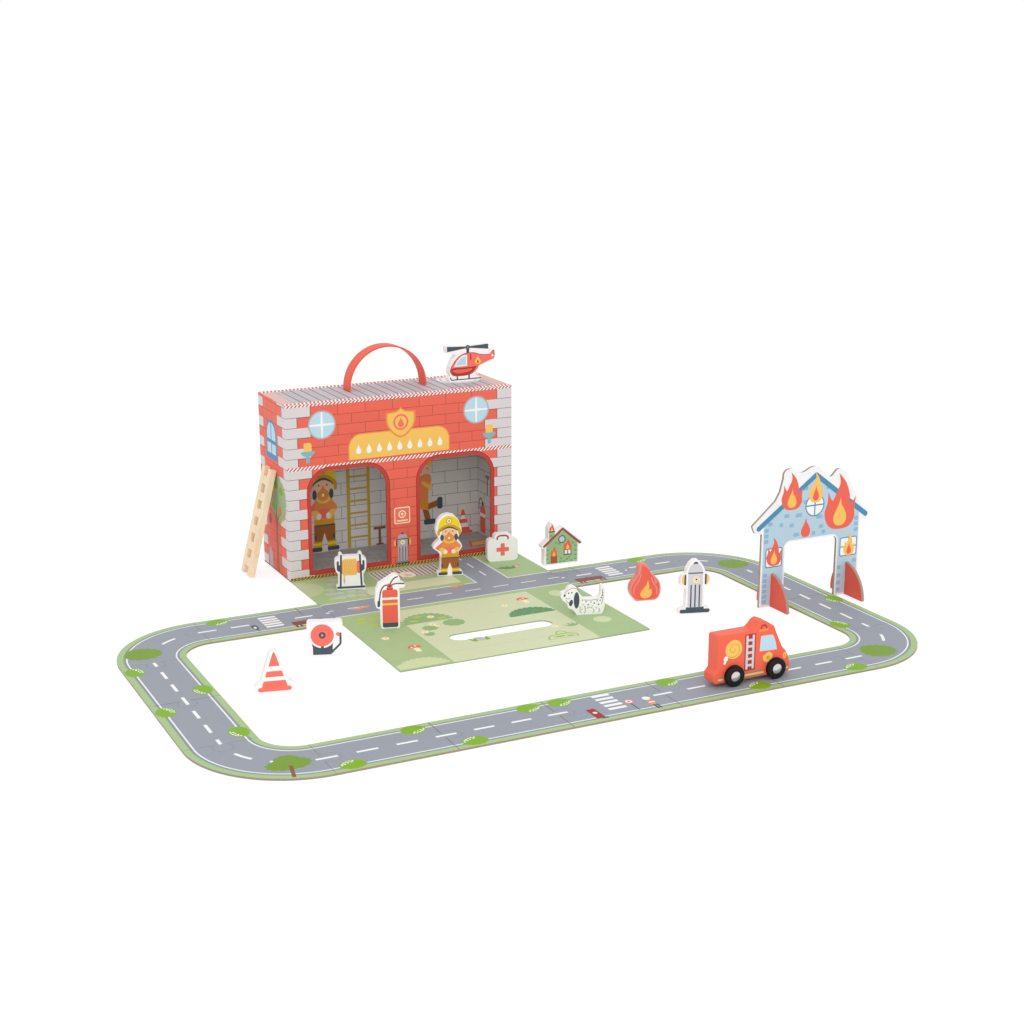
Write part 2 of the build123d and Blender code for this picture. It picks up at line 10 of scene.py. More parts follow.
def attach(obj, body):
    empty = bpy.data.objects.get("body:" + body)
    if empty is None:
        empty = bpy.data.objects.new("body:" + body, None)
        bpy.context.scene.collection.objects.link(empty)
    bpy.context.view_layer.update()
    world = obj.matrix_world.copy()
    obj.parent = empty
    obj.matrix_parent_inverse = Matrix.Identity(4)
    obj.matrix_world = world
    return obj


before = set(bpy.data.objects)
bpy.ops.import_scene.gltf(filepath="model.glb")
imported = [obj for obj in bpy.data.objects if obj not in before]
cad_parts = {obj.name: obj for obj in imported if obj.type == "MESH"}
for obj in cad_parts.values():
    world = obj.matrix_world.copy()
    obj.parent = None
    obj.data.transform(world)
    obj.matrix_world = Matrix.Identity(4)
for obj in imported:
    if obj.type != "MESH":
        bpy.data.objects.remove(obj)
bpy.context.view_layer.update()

bl_info = {
    "name": "Toy Fire Station Looks",
    "version": (1, 0, 0),
    "blender": (4, 5, 0),
    "location": "View3D > Sidebar > Fire Station",
    "description": "Prints, paints and lights a toy fire station play set",
    "category": "Object",
}

MM = 0.001
X, Y, Z = (1, 0, 0), (0, 1, 0), (0, 0, 1)


def reach(name):
    """The least and the greatest corner of a CAD piece, to a tenth of a millimetre."""
    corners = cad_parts[name].bound_box
    return [[round(pick(c[k] for c in corners) / MM, 1) for k in range(3)] for pick in (min, max)]


def middle(name):
    """The middle of a CAD piece, in millimetres."""
    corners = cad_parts[name].bound_box
    return [sum(c[k] for c in corners) / len(corners) / MM for k in range(3)]


# Places and sizes of the CAD pieces that the prints follow, in millimetres

CASE_LEFT, CASE_FRONT, _ = reach("case_front_wall")[0]
CASE_RIGHT, CASE_BACK, CASE_TOP = reach("case_back_wall")[1]
CASE_WIDTH, CASE_DEPTH = CASE_RIGHT - CASE_LEFT, CASE_BACK - CASE_FRONT
BOARD = reach("case_floor")[1][2]
BAND_LOW, BAND_HIGH, RIM_LOW = 137.2, 141.8, 214.7
BAY_MIDDLE, BAY_STRAIGHT, BAY_SPRING, BAY_RADIUS = 71.5, 23, 108, 26
RING_MIDDLE = -379.5
RING_HALF_ROW, RING_HALF_COLUMN, RING_BEND = 300, 120, 72.5
TILE_LENGTH = 120
TOY_THICKNESS = 10
HOUSE_LEFT = 303.2
STONE_SEED = 7


def linear(code):
    """A web colour code as scene linear red, green and blue."""
    parts = [int(code[i : i + 2], 16) / 255 for i in (0, 2, 4)]
    return tuple(c / 12.92 if c <= 0.04045 else ((c + 0.055) / 1.055) ** 2.4 for c in parts)


INKS = {
    "white": "FBFAF8",
    "cream": "FFF3C9",
    "red": "F26A57",
    "dark_red": "A93B36",
    "orange": "F4924F",
    "yellow": "FBC864",
    "helmet_yellow": "F6DB2C",
    "ochre": "D9A426",
    "brown": "A7632F",
    "bark": "8A5A3B",
    "roof_brown": "A85348",
    "bench_brown": "8C4A3F",
    "slate": "4A5761",
    "pewter": "B9B3BB",
    "stone": "C6C8BC",
    "case_red": "A5232A",
    "silver": "D8D6DA",
    "sky": "C0DFEE",
    "steel_blue": "4F90B5",
    "torch_blue": "86B9CC",
    "wall_blue": "BCD4E3",
    "patch_blue": "92BDD6",
    "leaf": "84B41C",
    "olive": "7A9F2D",
    "lime": "B9D25A",
    "bush": "98BC84",
    "deep_bush": "5F9768",
    "pale_green": "D3DFAE",
    "tree_green": "9CB887",
    "house_green": "9FC591",
    "patch_green": "6FA277",
    "skin": "FBCBA6",
    "coral": "F9786A",
    "pink": "F29A90",
    "mustard": "C9A63C",
    "shade_grey": "8C8886",
    "pastel_orange": "F5A66E",
}


class StationInks(bpy.types.PropertyGroup):
    """The main printing inks and paints."""

    brick: bpy.props.FloatVectorProperty(
        name="Brick", description="Red of the outer brick walls", subtype="COLOR", default=linear("EC6B58")
    )
    quoin: bpy.props.FloatVectorProperty(
        name="Quoin", description="Grey of the corner stones", subtype="COLOR", default=linear("DFD9DA")
    )
    inner_brick: bpy.props.FloatVectorProperty(
        name="Inner brick", description="Grey of the garage walls", subtype="COLOR", default=linear("E2DEDB")
    )
    plank: bpy.props.FloatVectorProperty(
        name="Roof plank", description="Grey of the roof planks", subtype="COLOR", default=linear("C9C0C6")
    )
    grass: bpy.props.FloatVectorProperty(
        name="Grass", description="Darker green of mat and verges", subtype="COLOR", default=linear("ADC690")
    )
    lawn: bpy.props.FloatVectorProperty(
        name="Lawn", description="Paler green of the mat's middle", subtype="COLOR", default=linear("D8E0B8")
    )
    asphalt: bpy.props.FloatVectorProperty(
        name="Asphalt", description="Grey of the road", subtype="COLOR", default=linear("9AA0AB")
    )
    toy_paint: bpy.props.FloatVectorProperty(
        name="Toy paint", description="White of the cut-out toys", subtype="COLOR", default=linear("FCFAF9")
    )
    truck_paint: bpy.props.FloatVectorProperty(
        name="Truck paint", description="Red of the truck", subtype="COLOR", default=linear("F7694F")
    )
    strap: bpy.props.FloatVectorProperty(
        name="Strap", description="Red of the carrying strap", subtype="COLOR", default=linear("F4634B")
    )


class StationSizes(bpy.types.PropertyGroup):
    """Sizes of the printed patterns, in metres."""

    brick_length: bpy.props.FloatProperty(
        name="Brick length", description="Length of an outer brick", default=0.0356, unit="LENGTH"
    )
    brick_height: bpy.props.FloatProperty(
        name="Brick height", description="Height of a row of outer bricks", default=0.0126, unit="LENGTH"
    )
    stripe_pitch: bpy.props.FloatProperty(
        name="Stripe pitch", description="Step of the slanting stripes", default=0.0049, unit="LENGTH"
    )
    plank_pitch: bpy.props.FloatProperty(
        name="Plank pitch", description="Width of a roof plank", default=0.0125, unit="LENGTH"
    )
    dash_pitch: bpy.props.FloatProperty(
        name="Dash pitch", description="Step of the road's middle dashes", default=0.0394, unit="LENGTH"
    )
    ink_step: bpy.props.FloatProperty(
        name="Ink step", description="Thickness of one layer of print", default=0.00002, unit="LENGTH"
    )


class StationStage(bpy.types.PropertyGroup):
    """Camera, lamp and sky."""

    focal_length: bpy.props.FloatProperty(
        name="Focal length", description="Camera lens on a 36 mm sensor", default=0.057913, unit="CAMERA"
    )
    camera_place: bpy.props.FloatVectorProperty(
        name="Camera place", description="Where the camera stands", subtype="TRANSLATION",
        default=(-0.75945, -1.8826, 0.60487),
    )
    heading: bpy.props.FloatProperty(
        name="Heading", description="Turn of the view to the right", subtype="ANGLE", default=0.460959
    )
    tilt: bpy.props.FloatProperty(
        name="Tilt", description="How far the view looks down", subtype="ANGLE", default=0.263729
    )
    key_place: bpy.props.FloatVectorProperty(
        name="Key place", description="Where the main lamp stands", subtype="TRANSLATION",
        default=(-0.9, -2.4, 1.3),
    )
    key_size: bpy.props.FloatProperty(
        name="Key size", description="Width of the main lamp's disc", default=2.2, min=0, unit="LENGTH"
    )
    sky_strength: bpy.props.FloatProperty(
        name="Sky strength", description="Light from all round", default=0.91, min=0, subtype="FACTOR"
    )
    key_power: bpy.props.FloatProperty(
        name="Key power", description="Main soft lamp, in watts", default=16, min=0, unit="POWER"
    )


class Wire:
    """A value in a node tree, on which sums can be written."""

    def __init__(self, finish, socket):
        self.finish = finish
        self.socket = socket

    def math(self, operation, *values):
        return self.finish.node("ShaderNodeMath", {"operation": operation}, values)

    def __add__(self, other):
        return self.math("ADD", self, other)

    def __radd__(self, other):
        return self.math("ADD", other, self)

    def __sub__(self, other):
        return self.math("SUBTRACT", self, other)

    def __rsub__(self, other):
        return self.math("SUBTRACT", other, self)

    def __mul__(self, other):
        return self.math("MULTIPLY", self, other)

    def __rmul__(self, other):
        return self.math("MULTIPLY", other, self)

    def __truediv__(self, other):
        return self.math("DIVIDE", self, other)

    def __lt__(self, other):
        return self.math("LESS_THAN", self, other)

    def __gt__(self, other):
        return self.math("GREATER_THAN", self, other)

    def __and__(self, other):
        return self.math("MULTIPLY", self, other)

    def __or__(self, other):
        return self.math("MAXIMUM", self, other)

    def __abs__(self):
        return self.math("ABSOLUTE", self)

    def floor(self):
        return self.math("FLOOR", self)

    def part(self, pitch):
        """How far into its step the value is, from 0 to 1."""
        return self.math("FRACT", self / pitch)

    def at_least(self, other):
        return self.math("MAXIMUM", self, other)

    def at_most(self, other):
        return self.math("MINIMUM", self, other)

    def within(self, low, high):
        return (self > low) & (self < high)

    def length_with(self, other):
        return self.math("SQRT", self * self + other * other)


class Finish:
    """A node material while it is being made."""

    def __init__(self, name):
        self.material = bpy.data.materials.new(name)
        self.material.use_nodes = True
        self.tree = self.material.node_tree
        self.shader = self.tree.nodes["Principled BSDF"]

    def put(self, socket, value):
        if isinstance(value, Wire):
            self.tree.links.new(value.socket, socket)
        elif socket.type == "RGBA" and len(value) == 3:
            socket.default_value = (*value, 1)
        else:
            socket.default_value = value

    def node(self, kind, settings=None, values=(), output=0):
        """Adds a node: its settings first, then its sockets' values or links."""
        made = self.tree.nodes.new(kind)
        for key, value in (settings or {}).items():
            if key == "stops":
                for stop, (place, colour) in zip(made.color_ramp.elements, value):
                    stop.position = place
                    stop.color = (*colour, 1)
            else:
                setattr(made, key, value)
        pairs = values.items() if isinstance(values, dict) else enumerate(values)
        for key, value in pairs:
            self.put(made.inputs[key], value)
        return Wire(self, made.outputs[output])

    def place(self):
        """Object coordinates in millimetres: the whole vector and its three parts."""
        coordinates = self.node("ShaderNodeTexCoord", output="Object")
        whole = self.node("ShaderNodeVectorMath", {"operation": "SCALE"}, {0: coordinates, "Scale": 1000})
        split = self.tree.nodes.new("ShaderNodeSeparateXYZ")
        self.put(split.inputs[0], whole)
        return whole, *(Wire(self, socket) for socket in split.outputs)

    def join(self, x, y, z=0):
        return self.node("ShaderNodeCombineXYZ", values=(x, y, z))

    def mix(self, below, above, share):
        return self.node("ShaderNodeMix", {"data_type": "RGBA"}, {0: share, 6: below, 7: above}, output=2)

    def layers(self, base, *prints):
        """Prints colours over a base, each through its mask."""
        for mask, colour in prints:
            base = self.mix(base, colour, mask)
        return base

    def noise(self, vector, scale, detail=2):
        return self.node("ShaderNodeTexNoise", values={"Vector": vector, "Scale": scale, "Detail": detail})

    def disc(self, x, y, centre, radius):
        return (x - centre[0]).length_with(y - centre[1]) < radius

    def close(self, colour, whole, grain=0.6, roughness=0.5, bump=0.12, tint=0.05, metallic=0, shine=0.22):
        """Adds a fine grain to the colour, roughness and surface, and links the shader."""
        fine = self.noise(whole, grain, 3)
        broad = self.noise(whole, grain / 18, 2)
        shade = 1 - tint * ((fine + broad) / 2)
        colour = self.node("ShaderNodeVectorMath", {"operation": "SCALE"}, {0: colour, "Scale": shade})
        self.put(self.shader.inputs["Base Color"], colour)
        self.put(self.shader.inputs["Roughness"], roughness - 0.05 + 0.1 * fine)
        self.put(self.shader.inputs["Metallic"], metallic)
        self.put(self.shader.inputs["Specular IOR Level"], shine)
        relief = self.node(
            "ShaderNodeBump", values={"Strength": bump, "Distance": 0.0002, "Height": fine}
        )
        self.put(self.shader.inputs["Normal"], relief)
        return self.material


ink_cache = {}


def ink(name):
    """A printed or painted colour with a fine paper grain."""
    if name not in ink_cache:
        finish = Finish(name + "_ink")
        whole = finish.place()[0]
        ink_cache[name] = finish.close(linear(INKS[name]), whole, roughness=0.48, bump=0.06)
    return ink_cache[name]


def dress(nodes, material):
    """Gives CAD nodes a finish through their material slots."""
    for name in nodes:
        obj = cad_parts[name]
        obj.data.materials.clear()
        obj.data.materials.append(material)


# Flat outlines, in millimetres


def box(x0, y0, x1, y1, radius=0):
    """A rectangle; radius is one value, or one each for bottom left, bottom right, top right, top left."""
    radii = radius if isinstance(radius, tuple) else (radius,) * 4
    corners = ((x0, y0, 1, 1, 180), (x1, y0, -1, 1, 270), (x1, y1, -1, -1, 0), (x0, y1, 1, -1, 90))
    points = []
    for (x, y, side_x, side_y, start), r in zip(corners, radii):
        if r:
            centre = (x + side_x * r, y + side_y * r)
            points += oval(*centre, r, r, start, start + 90, 8)
        else:
            points.append((x, y))
    return points


def oval(x, y, rx, ry=None, start=0, end=360, steps=36):
    """An ellipse, or the part of it between two angles in degrees."""
    ry = rx if ry is None else ry
    count = steps if end - start == 360 else steps + 1
    angles = [math.radians(start + (end - start) * n / steps) for n in range(count)]
    return [(x + rx * math.cos(a), y + ry * math.sin(a)) for a in angles]


def bar(start, end, width, square=False):
    """A straight stroke with round or square ends."""
    along = Vector(end) - Vector(start)
    turn = math.degrees(math.atan2(along.y, along.x))
    if square:
        side = Vector((-along.y, along.x)).normalized() * width / 2
        a, b = Vector(start), Vector(end)
        return [tuple(p) for p in (a + side, a - side, b - side, b + side)]
    return oval(*end, width / 2, None, turn - 90, turn + 90, 8) + oval(
        *start, width / 2, None, turn + 90, turn + 270, 8
    )


def smooth(points, steps=5):
    """A closed soft curve through points; a point given twice in a row stays sharp."""
    curve = []
    count = len(points)
    for n in range(count):
        a, b, c, d = (Vector(points[(n + k) % count]) for k in (-1, 0, 1, 2))
        if (b - c).length < 1e-6:
            continue
        out = Vector((0, 0)) if (a - b).length < 1e-6 else (c - a) / 2
        back = Vector((0, 0)) if (c - d).length < 1e-6 else (d - b) / 2
        for k in range(steps):
            t = k / steps
            p = (2 * t**3 - 3 * t**2 + 1) * b + (t**3 - 2 * t**2 + t) * out
            p += (3 * t**2 - 2 * t**3) * c + (t**3 - t**2) * back
            curve.append(tuple(p))
    return curve


def stroke(points, width, steps=6):
    """A soft open line of even width through points."""
    line = []
    for n in range(len(points) - 1):
        b, c = Vector(points[n]), Vector(points[n + 1])
        a = Vector(points[n - 1]) if n else b
        d = Vector(points[n + 2]) if n + 2 < len(points) else c
        for k in range(steps):
            t = k / steps
            p = (2 * t**3 - 3 * t**2 + 1) * b + (t**3 - 2 * t**2 + t) * (c - a) / 2
            p += (3 * t**2 - 2 * t**3) * c + (t**3 - t**2) * (d - b) / 2
            line.append(p)
    line.append(Vector(points[-1]))
    left, right = [], []
    for n, p in enumerate(line):
        along = line[min(n + 1, len(line) - 1)] - line[max(n - 1, 0)]
        side = Vector((-along.y, along.x)).normalized() * width / 2
        left.append(tuple(p + side))
        right.append(tuple(p - side))
    return left + right[::-1]


def moved(outline, x=0, y=0, width=1, height=1, turn=0):
    """An outline scaled, turned by degrees and moved."""
    c, s = math.cos(math.radians(turn)), math.sin(math.radians(turn))
    return [(x + c * u * width - s * v * height, y + s * u * width + c * v * height) for u, v in outline]


def scallops(x, y, rx, ry, bumps, start=0, end=360, swell=0.12):
    """A leafy blob with rounded bumps round its edge."""
    points = []
    for n in range(bumps * 6):
        t = n / (bumps * 6)
        a = math.radians(start + (end - start) * t)
        r = 1 + swell * abs(math.sin(math.pi * bumps * t))
        points.append((x + rx * r * math.cos(a), y + ry * r * math.sin(a)))
    if end - start != 360:
        a = math.radians(end)
        points.append((x + rx * math.cos(a), y + ry * math.sin(a)))
    return points


FLAME = smooth([
    (0, 0), (0.3, 0.03), (0.47, 0.18), (0.46, 0.36), (0.5, 0.56), (0.5, 0.56), (0.33, 0.43),
    (0.29, 0.6), (0.16, 0.82), (-0.08, 1), (-0.08, 1), (-0.03, 0.82), (-0.15, 0.64), (-0.26, 0.52),
    (-0.4, 0.68), (-0.4, 0.68), (-0.42, 0.48), (-0.5, 0.32), (-0.43, 0.14), (-0.26, 0.03),
])
DROP = smooth([
    (0, 0), (0.35, 0.06), (0.5, 0.28), (0.34, 0.55), (0.1, 0.76), (0.04, 1), (0.04, 1), (-0.14, 0.74),
    (-0.4, 0.46), (-0.5, 0.24), (-0.32, 0.05),
])


class Print:
    """Flat printed shapes on one face, laid over each other as thin closed pieces of one mesh."""

    def __init__(self, name, body, slot, origin, across=X, up=Z, flip=False):
        self.name = name
        self.body = body
        self.slot = slot
        self.origin = Vector(origin)
        self.across = Vector(across)
        self.up = Vector(up)
        self.out = self.across.cross(self.up) * (-1 if flip else 1)
        self.flip = flip
        self.laid = []

    def add(self, name, *outlines):
        """Lays outlines in one ink above whatever they cover."""
        for outline in outlines:
            xs, ys = [p[0] for p in outline], [p[1] for p in outline]
            edge = (min(xs), min(ys), max(xs), max(ys))
            level = 1
            for other, over, _, _ in self.laid:
                apart = edge[0] > other[2] or edge[2] < other[0] or edge[1] > other[3] or edge[3] < other[1]
                if not apart:
                    level = max(level, over + 1)
            self.laid.append((edge, level, name, outline))

    def make(self):
        """Builds the mesh, one closed slab for each shape, and lets it ride on its body."""
        step = bpy.context.scene.station_sizes.ink_step / MM
        names = sorted({name for _, _, name, _ in self.laid})
        points, faces, slots = [], [], []
        for _, level, name, outline in self.laid:
            area = sum(a[0] * b[1] - b[0] * a[1] for a, b in zip(outline, outline[1:] + outline[:1]))
            ring = outline if (area > 0) != self.flip else outline[::-1]
            first, count = len(points), len(ring)
            for height in (0, level * step):
                for u, v in ring:
                    spot = self.origin + u * self.across + v * self.up + height * self.out
                    points.append(spot * MM)
            top = range(first + count, first + 2 * count)
            faces += [tuple(top), tuple(range(first + count - 1, first - 1, -1))]
            for n in range(count):
                m = (n + 1) % count
                faces.append((first + n, first + m, first + count + m, first + count + n))
            slots += [names.index(name)] * (count + 2)
        mesh = bpy.data.meshes.new(self.name)
        mesh.from_pydata(points, [], faces)
        for name in names:
            mesh.materials.append(ink(name))
        mesh.polygons.foreach_set("material_index", slots)
        mesh.update()
        piece = bpy.data.objects.new(self.name, mesh)
        bpy.context.scene.collection.objects.link(piece)
        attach(piece, self.body)
        return piece


# Motifs used on more than one piece


def flame(page, x, y, width, height, outer="red", inner="yellow"):
    """A flame with a drop inside it; x and y are the middle of its foot."""
    page.add(outer, moved(FLAME, x, y, width, height))
    page.add(inner, moved(DROP, x, y + 0.06 * height, 0.42 * width, 0.5 * height))


def rings(page, x, y, *discs):
    """Discs on one middle, each an ink, a radius and a number of steps."""
    for name, radius, steps in discs:
        page.add(name, oval(x, y, radius, steps=steps))


def bush(page, x, y, turn=0):
    """A round verge bush with small white flowers on its upper left."""
    page.add("leaf", moved(scallops(0, 0, 11.8, 9.4, 14), x, y, turn=turn))
    spots = [(-10, 0.9), (-9, 3.4), (-7, 5.4), (-4.2, 7), (-1, 7.9), (2.4, 7.7), (-6.4, 2.7), (-3, 4.5),
             (0.8, 5.3)]
    page.add("white", *(moved(oval(u, v, 1.1, steps=8), x, y, turn=turn) for u, v in spots))


def blossom(page, x, y, size):
    """A cream flower of five petals."""
    petals = [oval(x + size * 0.55 * math.cos(a), y + size * 0.55 * math.sin(a), size * 0.5, steps=10)
              for a in (0.3, 1.56, 2.8, 4.1, 5.3)]
    page.add("cream", *petals)
    page.add("yellow", oval(x, y, size * 0.35, steps=10))


def mushroom(page, x, y, width, height):
    """A red mushroom; x and y are its middle."""
    low, cap = y - height / 2, y + 0.08 * height
    page.add("cream", box(x - 0.2 * width, low, x + 0.2 * width, cap, 0.16 * width))
    page.add("red", oval(x, cap, 0.5 * width, 0.42 * height, 0, 180, 16))
    page.add("white", oval(x - 0.2 * width, cap + 0.12 * height, 0.09 * width, steps=10))
    page.add("white", oval(x + 0.12 * width, cap + 0.24 * height, 0.1 * width, steps=10))


def crossed_window(page, x, y, radius, rim, width):
    """A round window with a white cross whose bars are thickest in the middle."""
    glass = radius - rim
    rings(page, x, y, ("pewter", radius, 56), ("sky", glass, 56))
    thin, thick = 0.4 * width, 0.7 * width
    for flip in (False, True):
        arms = [(-glass, -thin), (0, -thick), (glass, -thin), (glass, thin), (0, thick), (-glass, thin)]
        page.add("white", [(x + (v if flip else u), y + (u if flip else v)) for u, v in arms])


def arched_window(page):
    """The upper window of a side wall."""
    page.add("steel_blue", box(33.5, 143, 72, 191.7, (0, 0, 19.2, 19.2)), box(32, 142.8, 75.5, 148.6, 1))
    page.add("sky", box(37.8, 149.6, 52.7, 162.2), box(55.2, 149.6, 69.3, 162.4),
             [(52.7, 167), *oval(52.7, 172, 14.9, 16, 90, 180, 10), (37.8, 167)],
             [(55.2, 167), (69.3, 167), *oval(55.2, 172, 14.1, 16, 0, 90, 10)])


def firefighter_print(page, x=0, y=0, size=1, tall=0.988):
    """A plain doll of a firefighter, 32 wide and 78 high at size 1."""

    def lay(name, *outlines):
        page.add(name, *(moved(o, x, y, size, tall) for o in outlines))

    lay("slate", box(1.4, 0.9, 13, 4.8, 1.6), box(18.6, 0.9, 31, 4.8, 1.6))
    lay("ochre", box(4.2, 4.6, 13, 9.8, 0.8), box(18.6, 4.6, 27.8, 9.8, 0.8))
    lay("helmet_yellow", box(4.2, 6.2, 13, 8.2), box(18.6, 6.2, 27.8, 8.2))
    lay("brown", smooth([(5, 9.6), (5, 9.6), (13.2, 9.6), (13.2, 9.6), (15.8, 17), (15.8, 17), (18.4, 9.6),
                         (18.4, 9.6), (27, 9.6), (27, 9.6), (27.2, 23.4), (27.2, 23.4), (5.2, 23.4),
                         (5.2, 23.4)]))
    lay("slate", box(5, 11.4, 7.6, 15.6, 0.8), box(24.4, 11.4, 27, 15.6, 0.8))
    lay("coral", smooth([(8.4, 45), (4.6, 42), (-2.2, 36.2), (-2.2, 36.2), (4.6, 31.8), (8.6, 33.4),
                         (9.8, 40)]))
    lay("orange", smooth([(22.6, 45), (26.2, 42.4), (29.8, 37.6), (25.6, 31), (22.4, 32.4), (21.4, 40)]))
    lay("orange", smooth([(5.6, 24), (5.6, 24), (26.6, 24), (26.6, 24), (26.4, 34), (25.2, 43.6), (21, 46.6),
                          (10.6, 46.6), (6.8, 43.6), (5.8, 34)]))
    lay("coral", box(9, 29.4, 22.6, 37, 2.4))
    lay("ochre", box(5.4, 23.4, 26.8, 27.4, 0.6))
    lay("slate", box(5.2, 22.4, 27, 23.7, 0.4))
    lay("yellow", smooth([(8.6, 46.4), (10.6, 42.8), (16, 41.6), (21, 42.8), (23.2, 46.4), (19.6, 47.4),
                          (12, 47.4)]))
    lay("yellow", smooth([(2.8, 35.2), (7.6, 36.2), (11.6, 33), (9.4, 28.2), (5.8, 29.6)]),
        smooth([(28.2, 35.4), (24, 36), (19.6, 33), (21.6, 28.2), (25.4, 29.8)]))
    lay("cream", oval(10.6, 31, 2.5, 2.7, steps=16), oval(20.4, 31, 2.5, 2.7, steps=16))
    lay("skin", oval(15.6, 54.6, 9.8, 8.4))
    lay("slate", oval(6.6, 49.4, 2.3, 4.2, steps=20), oval(24, 49.4, 2.3, 4.2, steps=20))
    lay("orange", smooth([(15.4, 57), (17.4, 54), (21.6, 50.4), (20.4, 45.8), (15.4, 43.6), (10.4, 45.8),
                          (9.2, 50.4), (13.4, 54)]))
    lay("ochre", oval(15.4, 48.6, 2.6, steps=16))
    lay("cream", oval(15.4, 48.6, 1.4, steps=12))
    lay("slate", oval(11.2, 57.2, 0.85, steps=10), oval(19.6, 57.2, 0.85, steps=10))
    lay("slate", smooth([(3.4, 56), (3.4, 56), (6.6, 62.6), (15.4, 65), (24.2, 62.6), (27.6, 56), (27.6, 56),
                         (22, 59.6), (15.4, 61.4), (9, 59.6)]))
    lay("ochre", smooth([(0.8, 53.6), (1.4, 59.4), (4.8, 62.4), (15.4, 67), (26, 62.4), (29.6, 59.4),
                         (30, 53.6), (27.2, 52.4), (25.6, 58.8), (15.4, 63.4), (5.4, 58.8), (3.4, 52.6)]))
    lay("helmet_yellow", smooth([(2.2, 61), (3.6, 69), (8.4, 74.8), (15.4, 77), (22.6, 74.8), (27.4, 69),
                                 (28.8, 61), (22, 64.6), (15.4, 65.8), (8.8, 64.6)]))
    lay("ochre", oval(15.4, 70.4, 4, 3.9, steps=24))
    lay("cream", oval(15.4, 70.4, 2.8, 2.7, steps=20))
    lay("coral", oval(15.4, 70.4, 1.3, steps=14))


# Finishes of the CAD pieces


def slanting(finish, along, pitch, first, second):
    """Stripes of two colours, half a step each."""
    return finish.mix(first, second, along.part(pitch) < 0.5)


